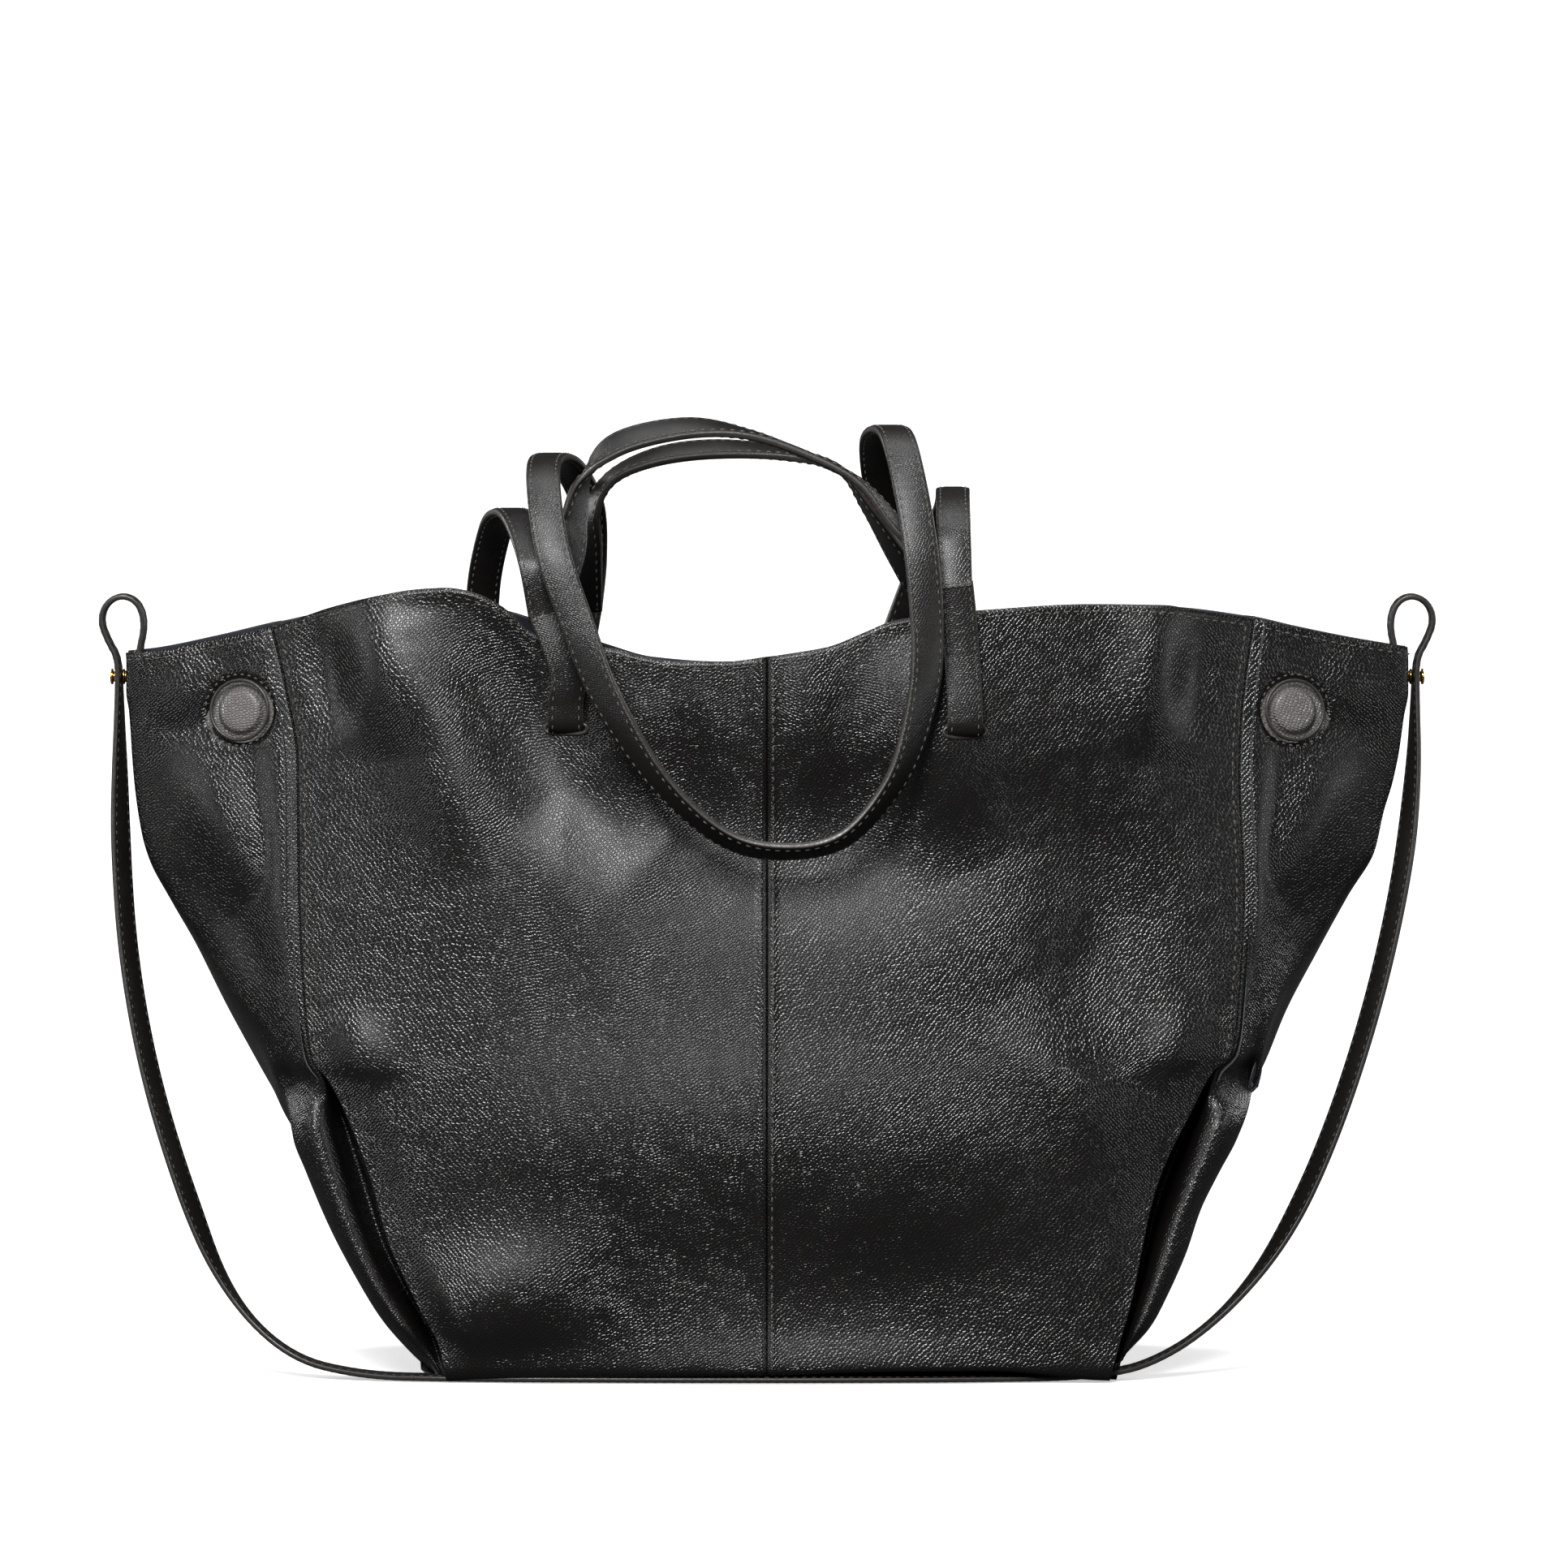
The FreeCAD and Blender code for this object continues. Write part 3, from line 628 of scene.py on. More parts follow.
LEFT_OUTLINE = Outline(
    seam=Profile((
        (0, 130), (14, 133), (29, 141), (43, 148), (56, 154), (80, 161), (106, 171), (122, 179.5),
        (128, 185), (147, 188), (199, 191), (251, 192), (278, 196.5), (306, 203))),
    roll_in=Profile((
        (0, 131), (7, 135), (24, 144), (39, 154), (58, 163), (80, 171), (105, 178), (121, 181),
        (130, 186.5), (147, 189), (199, 192), (251, 193), (278, 197.5), (306, 204))),
    roll_out=Profile((
        (0, 134), (4, 139), (11, 146), (26, 158), (44, 169), (61, 178), (84, 188), (97, 193), (113, 195),
        (147, 197), (199, 200), (251, 201), (306, 211))),
    tip=Profile((
        (0, 134), (25, 147), (50, 162), (75, 178), (95, 191.5), (113, 203), (128, 211.5), (150, 223.4),
        (174, 235.5), (194, 247), (208, 254), (219, 257), (239, 259.5), (270, 261.6), (278, 262.7),
        (290, 262.7), (297, 263.3))))
RIGHT_OUTLINE = Outline(
    seam=Profile((
        (0, 139), (15, 143), (32, 148), (51, 152), (70, 156), (85, 161), (108, 172.6), (125, 182),
        (131, 189), (146, 191.5), (199, 194.5), (245, 193), (268, 194), (310, 199.5))),
    roll_in=Profile((
        (0, 140), (11, 144), (24, 148.5), (42, 155), (64, 162), (85, 170), (110, 179), (125, 184),
        (133, 190.5), (146, 192.5), (199, 195.5), (245, 194), (268, 195), (310, 200.5))),
    roll_out=Profile((
        (0, 140.5), (3, 141), (9, 146), (21, 156), (34, 163), (51, 170.6), (68, 176.5), (83, 184),
        (97, 191.5), (113, 197), (147, 200), (199, 203), (251, 202), (310, 208))),
    tip=Profile((
        (0, 138), (25, 147), (50, 162), (75, 177), (95, 189.5), (102, 193), (125, 205), (147, 214),
        (169, 225.7), (193, 239), (212, 250), (229, 253.5), (240, 256.5), (253, 259), (268, 261),
        (278, 262.7), (290, 262.7), (299, 262.2))))
OUTLINES = {Side.LEFT: LEFT_OUTLINE, Side.RIGHT: RIGHT_OUTLINE}

# The top edge's height by x, front and back, and the front wall's lower edge, which arches off the floor.
TOP_FRONT = Profile((
    (-264, 294), (-254, 294.6), (-228, 299.5), (-203, 305), (-178, 313.5), (-158, 318.5), (-143, 321),
    (-132, 321.6), (-121, 319.8), (-107, 313), (-96, 303), (-84, 299.5), (-62, 297), (-51, 294),
    (-36, 292), (-16, 292), (-3, 293.5), (11, 295.5), (25, 298), (39, 303.5), (50, 308), (60, 310),
    (91, 313), (130, 315), (162, 314.5), (176, 312), (199, 308.5), (218, 304.5), (241, 300), (262, 296.5)))
TOP_BACK = Profile((
    (-264, 294.5), (-254, 295.5), (-228, 300.5), (-203, 306), (-170, 312), (-140, 313.5), (-112, 310.5),
    (-96, 306), (-66, 295.5), (-48, 290.5), (-20, 288.5), (10, 289.5), (40, 296), (64, 304), (91, 309),
    (130, 311.5), (165, 312), (199, 308.5), (218, 304.5), (241, 300), (262, 296.5)))
TOPS = {Face.FRONT: TOP_FRONT, Face.BACK: TOP_BACK}
HEM_LIFT = Profile((
    (-134, 0.3), (-112, 0.4), (-88, 1.0), (-62, 2.4), (0, 3.2), (52, 4.8), (92, 5.0), (112, 3.2),
    (128, 1.2), (141, 0.4)))

FRONT_FOLDS = (
    Fold(((-190, 98), (-60, 98), (60, 98), (190, 98)), 6.5, 44),
    Fold(((-84, 222), (0, 222), (70, 222), (140, 230)), -8, 36),
    Fold(((-114, 326), (-100, 282), (-82, 244), (-46, 212)), -9, 24),
    Fold(((-148, 312), (-134, 256), (-122, 202)), 4.5, 18),
    Fold(((62, 304), (66, 262), (86, 208)), 5.5, 22),
    Fold(((-158, 6), (-114, 34), (-60, 46)), 6.5, 22),
    Fold(((-66, 38), (20, 32), (120, 40)), -3, 26),
    Fold(((-158, 334), (-160, 298), (-152, 252)), 6, 17),
    Fold(((-183, 316), (-179, 258)), -4, 11),
    Fold(((158, 330), (162, 294), (156, 250)), 6, 16),
    Fold(((176, 312), (172, 258)), -4, 11),
    Fold(((-176, 152), (-168, 136), (-156, 118)), 2.5, 12),
    Fold(((178, 154), (169, 138), (156, 118)), 2.5, 12),
    Fold(((122, 256), (138, 190), (118, 126)), -5, 26),
    Fold(((-40, 272), (-34, 240), (-24, 212)), -2.5, 12),
    Fold(((12, 306), (18, 264), (28, 222)), 2.5, 12),
    Fold(((94, 154), (124, 120), (138, 84)), 2.5, 14),
)
BACK_FOLDS = (
    Fold(((-118, 318), (-96, 262)), 6, 15),
    Fold(((-90, 250), (-40, 190)), 6, 20),
    Fold(((112, 318), (96, 258)), 6, 15),
    Fold(((60, 232), (10, 176)), 6, 22),
    Fold(((-178, 300), (-174, 262)), -5, 9),
    Fold(((176, 300), (172, 262)), -5, 9),
    Fold(((-140, 230), (-110, 160)), -5, 22),
    Fold(((136, 226), (108, 158)), -5, 22),
    Fold(((-90, 44), (-20, 58)), 5, 22),
    Fold(((40, 50), (106, 34)), 5, 20),
    Fold(((-30, 110), (50, 112)), -4, 24),
    Fold(((-168, 140), (-160, 130)), 4, 12),
    Fold(((168, 140), (160, 130)), 4, 12),
)
WALL_FOLDS = {Face.FRONT: FRONT_FOLDS, Face.BACK: BACK_FOLDS}
WING_FOLDS = (
    Fold(((236, 266), (226, 228), (210, 190)), 6, 15),
    Fold(((200, 266), (197, 212), (191, 160)), -2.2, 14),
    Fold(((240, 200), (219, 160), (196, 112)), 3.5, 10),
    Fold(((230, 294), (248, 264)), -2.2, 10),
)


@dataclass
class Shell:
    """The bag's walls: four panels and two gussets, with a base under them."""

    leather: float = 2.2
    mouth_half: float = 46.0
    base_half: float = 74.0
    seam_top: float = 19.0
    seam_foot: float = 71.0
    mouth_height: float = 300.0
    tip_top: float = 8.0
    tip_foot: float = 38.0
    tack_height: float = 128.0
    gap_depth: float = 17.0
    hem_round: float = 7.0
    stitch_pitch: float = 4.0
    hem_margin: float = 3.0
    seam_margin: float = 2.6
    window_radius: float = 13.0
    wall_round: float = 2.8
    groove_half: float = 1.3
    groove_depth: float = 0.9
    lip_place: float = 2.2
    lip_half: float = 1.4
    lip_height: float = 0.45
    panel_grid: tuple[int, int] = (104, 150)
    gusset_grid: tuple[int, int] = (200, 150)
    base_grid: tuple[int, int] = (80, 48)
    threads: list[Stitch] = field(default_factory=list)

    def hem_curl(self, z: float) -> float:
        """How far the rounded foot of a wall draws in at a height."""
        left = max(self.hem_round - z, 0.0)
        return left * left / (2.2 * self.hem_round)

    def groove(self, x: float) -> float:
        """How deep the middle seam is pressed in at a place, with its two raised lips."""
        lips = self.lip_height * math.exp(-((abs(x) - self.lip_place) / self.lip_half) ** 2)
        return math.exp(-(abs(x) / self.groove_half) ** 2) * self.groove_depth - lips

    def seam_depth(self, z: float) -> float:
        """How far the side seam stands off the bag's middle plane at a height."""
        return mix(self.seam_foot, self.seam_top, min(z / self.mouth_height, 1.05))

    def belly(self, z: float) -> float:
        """How far the middle of a wall stands off the bag's middle plane at a height."""
        return mix(self.base_half, self.mouth_half, min(z / self.mouth_height, 1.05) ** 0.9)

    def wall_y(self, x: float, z: float, face: Face) -> float:
        """How far a front or back wall stands out at a place.

        Args:
            x: The place across the bag.
            z: Its height.
            face: The front or the back.

        Returns:
            The distance from the middle plane, before its sign.
        """
        side = Side.RIGHT if x > 0 else Side.LEFT
        seam_x = OUTLINES[side].seam.at(z)
        share = min(abs(x) / seam_x, 1.0)
        seam_y, middle = self.seam_depth(z), self.belly(z)
        out = seam_y + (middle - seam_y) * (1 - share ** self.wall_round)
        settled = smooth((1 - share) * 9) * smooth(z / 22)
        out += sum(fold.at(x, z) for fold in WALL_FOLDS[face]) * settled
        out -= self.groove(x)
        return out - self.hem_curl(z)

    def panel_point(self, side: Side, face: Face, across: float, along: float) -> Point:
        """A point of a panel.

        Args:
            side: Which half of the bag.
            face: The front or the back.
            across: 0 at the middle seam, 1 at the side seam.
            along: 0 at the lower edge, 1 at the top edge.

        Returns:
            The point, in millimetres.
        """
        top = TOPS[face]
        x = side.value * across * OUTLINES[side].seam.at(self.mouth_height)
        for _ in range(3):
            x = side.value * across * OUTLINES[side].seam.at(top.at(x))
        high = top.at(x)
        low_x = side.value * across * OUTLINES[side].seam.at(1.0)
        low = HEM_LIFT.at(low_x) if face is Face.FRONT else 0.3
        z = mix(low, high, along)
        x = side.value * across * OUTLINES[side].seam.at(z)
        return x, face.value * self.wall_y(x, z, face), z

    def gusset_columns(self, side: Side, z: float) -> list[Point]:
        """The points that a gusset goes through at a height, from its front seam to its side fold.

        Args:
            side: Which gusset.
            z: The height.

        Returns:
            The points, with y positive towards the front.
        """
        outline = OUTLINES[side]
        edge, inner, outer, tip = (line.at(z) for line in (outline.seam, outline.roll_in, outline.roll_out,
                                                           outline.tip))
        tip = max(tip, outer + 0.6)
        seam_y = self.seam_depth(z) - self.hem_curl(z)
        shoulder = mix(self.tip_foot, self.tip_top, smooth(z / 235))
        pleat = smooth((self.tack_height - z) / 26) * mix(0.35, 1.0, smooth(z / 26))
        sunk = seam_y - 0.9 - self.gap_depth * pleat
        line_y = [mix(seam_y, shoulder, smooth((x - edge) / max(tip - edge, 1.0)) * 0.9)
                  for x in (inner, mix(inner, outer, 0.45), outer)]
        roll_y = [mix(y, target, pleat) for y, target in
                  zip(line_y, (seam_y - 5.5, seam_y - 0.2, seam_y - 9.5))]
        behind_x = mix(mix(outer, tip, 0.5), mix(outer, tip, 0.35), pleat)
        behind_y = mix(mix(seam_y, shoulder, 0.62), mix(seam_y, shoulder, 0.75), pleat)
        round_off = mix(1.2, 4.0, smooth((260 - z) / 120)) * (1 - pleat)
        return [
            (edge, seam_y, z), (mix(edge, inner, 0.3), sunk, z), (mix(edge, inner, 0.72), sunk + 0.4, z),
            (inner, roll_y[0], z), (mix(inner, outer, 0.45), roll_y[1], z), (outer, roll_y[2], z),
            (behind_x, behind_y, z), (tip - round_off, shoulder, z), (tip, shoulder * 0.42, z),
        ]

    def gusset_line(self, side: Side, z: float, across: float) -> tuple[float, float]:
        """A place on a gusset's level line.

        Args:
            side: Which gusset.
            z: The line's height.
            across: 0 at the front seam, 0.5 at the side fold, 1 at the back seam.

        Returns:
            (|x|, y), with y positive towards the front.
        """
        columns = self.gusset_columns(side, z)
        mirrored = columns + [(columns[-1][0] + 0.25, 0.0, z)] + [(a, -b, c) for a, b, c in reversed(columns)]
        x, y, _ = spline(mirrored, across * (len(mirrored) - 1))
        return x, y

    def gusset_point(self, side: Side, across: float, along: float) -> Point:
        """A point of a gusset.

        Args:
            side: Which gusset.
            across: 0 at the front seam, 0.5 at the side fold, 1 at the back seam.
            along: 0 at the foot, 1 at the top edge.

        Returns:
            The point, in millimetres.
        """
        face = Face.FRONT if across <= 0.5 else Face.BACK
        top = TOPS[face]
        outline = OUTLINES[side]
        rim_x = self.gusset_line(side, self.mouth_height, across)[0]
        z = mix(0.4, top.at(side.value * rim_x), along)
        x, y = self.gusset_line(side, z, across)
        still = smooth(abs(y) / 12) * smooth((abs(x) - outline.seam.at(z)) / 14)
        bulge = sum(fold.at(x, z) for fold in WING_FOLDS) * still * smooth((z - 126) / 26)
        y += math.copysign(bulge, y)
        return side.value * x, -y, z

    def outward(self, place: Callable[[float, float], Point], across: float, along: float) -> Vector:
        """The way out of a sheet at a share across and along.

        Args:
            place: The sheet's own function.
            across: The share across.
            along: The share along.

        Returns:
            The unit normal that points away from the bag's inside.
        """
        step = 0.004
        a, b = max(across - step, 0.0), min(across + step, 1.0)
        c, d = max(along - step, 0.0), min(along + step, 1.0)
        sideways = Vector(place(b, along)) - Vector(place(a, along))
        upwards = Vector(place(across, d)) - Vector(place(across, c))
        normal = sideways.cross(upwards).normalized()
        spot = Vector(place(across, along))
        if normal.dot(Vector((spot.x, spot.y * 3, 0))) < 0:
            normal.negate()
        return normal

    def sew_line(self, place: Callable[[float, float], Point], track: Sequence[tuple[float, float]]) -> None:
        """Add a row of stitches along a track on a sheet.

        Args:
            place: The sheet's own function.
            track: Shares across and along, close together.
        """
        spots = [Vector(place(*share)) for share in track]
        outs = [self.outward(place, *share) for share in track]
        for middle, along in evenly(spots, self.stitch_pitch):
            near = min(range(len(spots)), key=lambda i: (spots[i] - middle).length)
            self.threads.append(Stitch(middle, along, outs[near]))

    def thicken(self, piece: bpy.types.Object) -> None:
        """Give a sheet the leather's thickness, inwards, with a suede inside and a painted edge."""
        wall = piece.modifiers.new("leather", "SOLIDIFY")
        wall.thickness = self.leather * MM
        wall.offset = -1
        wall.material_offset = 1
        wall.material_offset_rim = 2
        wall.use_rim = True

    def face_out(self, shape: bmesh.types.BMesh) -> None:
        """Turn a sheet's faces away from the inside of the bag."""
        shape.normal_update()
        total = 0.0
        for polygon in shape.faces:
            middle = polygon.calc_center_median()
            total += polygon.normal.dot(Vector((middle.x * 0.3, middle.y, 0)))
        if total < 0:
            bmesh.ops.reverse_faces(shape, faces=shape.faces)

    def crowd(self, share: float) -> float:
        """Move shares towards both ends, so that seams have closer rows."""
        return share - math.sin(2 * math.pi * share) * 0.1

    def build_panels(self) -> None:
        """Make the four panels with their hem and seam stitches."""
        for face in Face:
            for side in Side:
                self.build_panel(side, face)

    def build_panel(self, side: Side, face: Face) -> None:
        """Make one panel.

        Args:
            side: Which half of the bag.
            face: The front or the back.
        """
        name = f"{face.name.lower()}_panel_{side.name.lower()}"

        def place(across: float, along: float) -> Point:
            """The panel's point for a share across and along."""
            return self.panel_point(side, face, self.crowd(across), along)

        shape = lofted(*self.panel_grid, place)
        self.face_out(shape)
        piece = new_piece(f"{name}_leather", shape, "bag", WALL_FINISHES, [name])
        self.thicken(piece)

        def plain(across: float, along: float) -> Point:
            """The panel's point with even shares."""
            return self.panel_point(side, face, across, along)

        margin = self.hem_margin / self.mouth_height
        self.sew_line(plain, [(i / 120, 1 - margin) for i in range(2, 119)])
        wide = OUTLINES[side].seam.at(200)
        beside = 1 - self.seam_margin / wide
        low = self.tack_height / 306
        self.sew_line(plain, [(beside, mix(low, 0.985, i / 120)) for i in range(121)])
        if side is Side.RIGHT:
            self.sew_line(plain, [(self.seam_margin / wide, mix(0.02, 0.985, i / 160)) for i in range(161)])

    def build_gussets(self) -> None:
        """Make the two gussets with their hems."""
        for side in Side:
            name = f"{side.name.lower()}_gusset"

            def place(across: float, along: float, side: Side = side) -> Point:
                """The gusset's point for a share across and along."""
                return self.gusset_point(side, across, along)

            shape = lofted(*self.gusset_grid, place)
            self.cut_windows(shape, side)
            self.face_out(shape)
            piece = new_piece(f"{name}_leather", shape, "bag", WALL_FINISHES, [name])
            self.thicken(piece)
            margin = self.hem_margin / self.mouth_height
            for start in (0.25, 0.5):
                self.sew_line(place, [(mix(start, start + 0.25, i / 60), 1 - margin) for i in range(1, 60)])

    def cut_windows(self, shape: bmesh.types.BMesh, side: Side) -> None:
        """Open the round windows over the magnet covers, with smooth round rims.

        Args:
            shape: The gusset's sheet.
            side: Which gusset.
        """
        low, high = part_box(f"magnet_cover_front_{side.name.lower()}")
        middle = (low + high) / 2
        radius = self.window_radius * MM
        gone = [vertex for vertex in shape.verts
                if math.hypot(vertex.co.x - middle.x, vertex.co.z - middle.z) < radius]
        bmesh.ops.delete(shape, geom=gone, context="VERTS")
        rims = [vertex for vertex in shape.verts if vertex.is_boundary
                and math.hypot(vertex.co.x - middle.x, vertex.co.z - middle.z) < radius * 1.35]
        for vertex in rims:
            away = Vector((vertex.co.x - middle.x, 0, vertex.co.z - middle.z))
            settled = away.normalized() * radius
            vertex.co.x, vertex.co.z = middle.x + settled.x, middle.z + settled.z

    def build_base(self) -> None:
        """Make the base: a rounded sheet that arches over the strap at the front."""
        left, right = OUTLINES[Side.LEFT].seam.at(2), OUTLINES[Side.RIGHT].seam.at(2)
        front, back = self.base_half - 5.0, self.base_half - 4.0

        def place(across: float, along: float) -> Point:
            """The base's point for a share across and along."""
            x = mix(-left + 0.4, right - 0.4, across)
            y = mix(-front, back, along)
            edge = smooth(1 - (y + front) / 26)
            rim = max(smooth((abs(across - 0.5) - 0.47) / 0.03), smooth((abs(along - 0.5) - 0.47) / 0.03))
            return x, y, HEM_LIFT.at(x) * edge + 3.2 * rim

        shape = lofted(*self.base_grid, place)
        shape.normal_update()
        down = sum(polygon.normal.z for polygon in shape.faces)
        if down > 0:
            bmesh.ops.reverse_faces(shape, faces=shape.faces)
        piece = new_piece("base_leather", shape, "bag", WALL_FINISHES, ["base_panel"])
        self.thicken(piece)

    def build_threads(self) -> None:
        """Lay all the stitches that were sewn on the walls."""
        new_piece("wall_stitches", Thread().sew(self.threads), "bag", (SEWN.name,))


# ---------------------------------------------------------------------------------------------- straps
@dataclass(frozen=True)
class Station:
    """A place along a strap: its middle, the way along, the way across and the way out of its face."""

    middle: Vector
    along: Vector
    across: Vector
    out: Vector


@dataclass(frozen=True)
class StrapSection:
    """A folded and stitched strap's cross-section, in millimetres."""

    width: float = 14.0
    thick: float = 3.2
    crown: float = 0.35
    pinch: float = 0.22
    stitch_margin: float = 1.9
    painted_from: float = 0.965
    sides: int = 30

    def ring(self, share: float) -> tuple[float, float]:
        """A point round the section, from a share of the way round.

        Args:
            share: 0 to 1, once round.

        Returns:
            (across, out of the face).
        """
        angle = 2 * math.pi * share
        c, s = math.cos(angle), math.sin(angle)
        x = math.copysign(abs(c) ** 0.32, c) * self.width / 2
        y = math.copysign(abs(s) ** 0.42, s) * self.thick / 2
        inward = abs(x) / (self.width / 2)
        stitched = math.exp(-((self.width / 2 - abs(x) - self.stitch_margin) / 0.7) ** 2)
        swell = self.crown * (1 - inward ** 2) / self.thick * 2
        return x, y * (1 + swell - self.pinch * stitched / self.thick * 2)


def stations_along(points: Sequence[Sequence[float]], across: Sequence[Sequence[float]], pitch: float
                   ) -> list[Station]:
    """Even places along a smooth strap.

    Args:
        points: The points that the strap goes through.
        across: The way across it at each point.
        pitch: The distance between places.

    Returns:
        The places, with their directions.
    """
    fine = [spline(points, i / 24) for i in range((len(points) - 1) * 24 + 1)]
    turns = [spline(across, i / 24) for i in range((len(points) - 1) * 24 + 1)]
    lengths = [0.0]
    for a, b in zip(fine, fine[1:]):
        lengths.append(lengths[-1] + float(np.linalg.norm(b - a)))
    count = max(int(lengths[-1] / pitch), 4)
    found = []
    for k in range(count + 1):
        goal = lengths[-1] * k / count
        i = min(max(bisect_right(lengths, goal) - 1, 0), len(fine) - 2)
        share = (goal - lengths[i]) / max(lengths[i + 1] - lengths[i], 1e-9)
        middle = Vector(fine[i] + (fine[i + 1] - fine[i]) * share)
        along = Vector(fine[min(i + 2, len(fine) - 1)] - fine[max(i - 1, 0)]).normalized()
        wide = Vector(turns[i] + (turns[i + 1] - turns[i]) * share)
        wide = (wide - along * wide.dot(along)).normalized()
        found.append(Station(middle, along, wide, along.cross(wide).normalized()))
    return found


def strap_shape(stations: Sequence[Station], section: StrapSection) -> bmesh.types.BMesh:
    """A closed strap through its stations, with edge paint as the second material of its narrow sides.

    Args:
        stations: Places along it.
        section: Its cross-section.

    Returns:
        The strap, in metres.
    """
    last = len(stations) - 1

    def place(across: float, along: float) -> Vector:
        """The strap's point for a share round and a share along."""
        station = stations[round(along * last)]
        x, y = section.ring(across % 1.0)
        return station.middle + station.across * x + station.out * y

    shape = lofted(section.sides, last, place, closed=True)
    close_ends(shape)
    limit = section.width / 2 * section.painted_from
    middles = np.array([tuple(station.middle) for station in stations])
    for polygon in shape.faces:
        middle = np.array(polygon.calc_center_median()) / MM
        near = stations[int(((middles - middle) ** 2).sum(1).argmin())]
        if abs((Vector(middle) - near.middle).dot(near.across)) > limit:
            polygon.material_index = 1
    return shape


def strap_stitches(stations: Sequence[Station], section: StrapSection, pitch: float = 4.0) -> list[Stitch]:
    """Stitches along both edges of both faces of a strap."""
    margin = section.width / 2 - section.stitch_margin
    found = []
    for edge in (-1, 1):
        for face in (-1, 1):
            line = [s.middle + s.across * edge * margin + s.out * face * (section.thick / 2 - 0.02)
                    for s in stations]
            for middle, along in evenly(line, pitch, 1.5):
                near = min(stations, key=lambda s: (s.middle - middle).length_squared)
                found.append(Stitch(middle, along, near.out * face))
    return found


ACROSS: Point = (1.0, 0.0, 0.0)
# Each tab's (x, z) at its stitched top and at its slit, and its x halfway up.
TABS = (
    (Face.FRONT, Side.LEFT, (-90, 312), (-82, 267), -81),
    (Face.FRONT, Side.RIGHT, (76.5, 324), (80.5, 266), 79.5),
    (Face.BACK, Side.LEFT, (-76, 313), (-82, 266), -80),
    (Face.BACK, Side.RIGHT, (70, 313), (82, 266), 78),
)


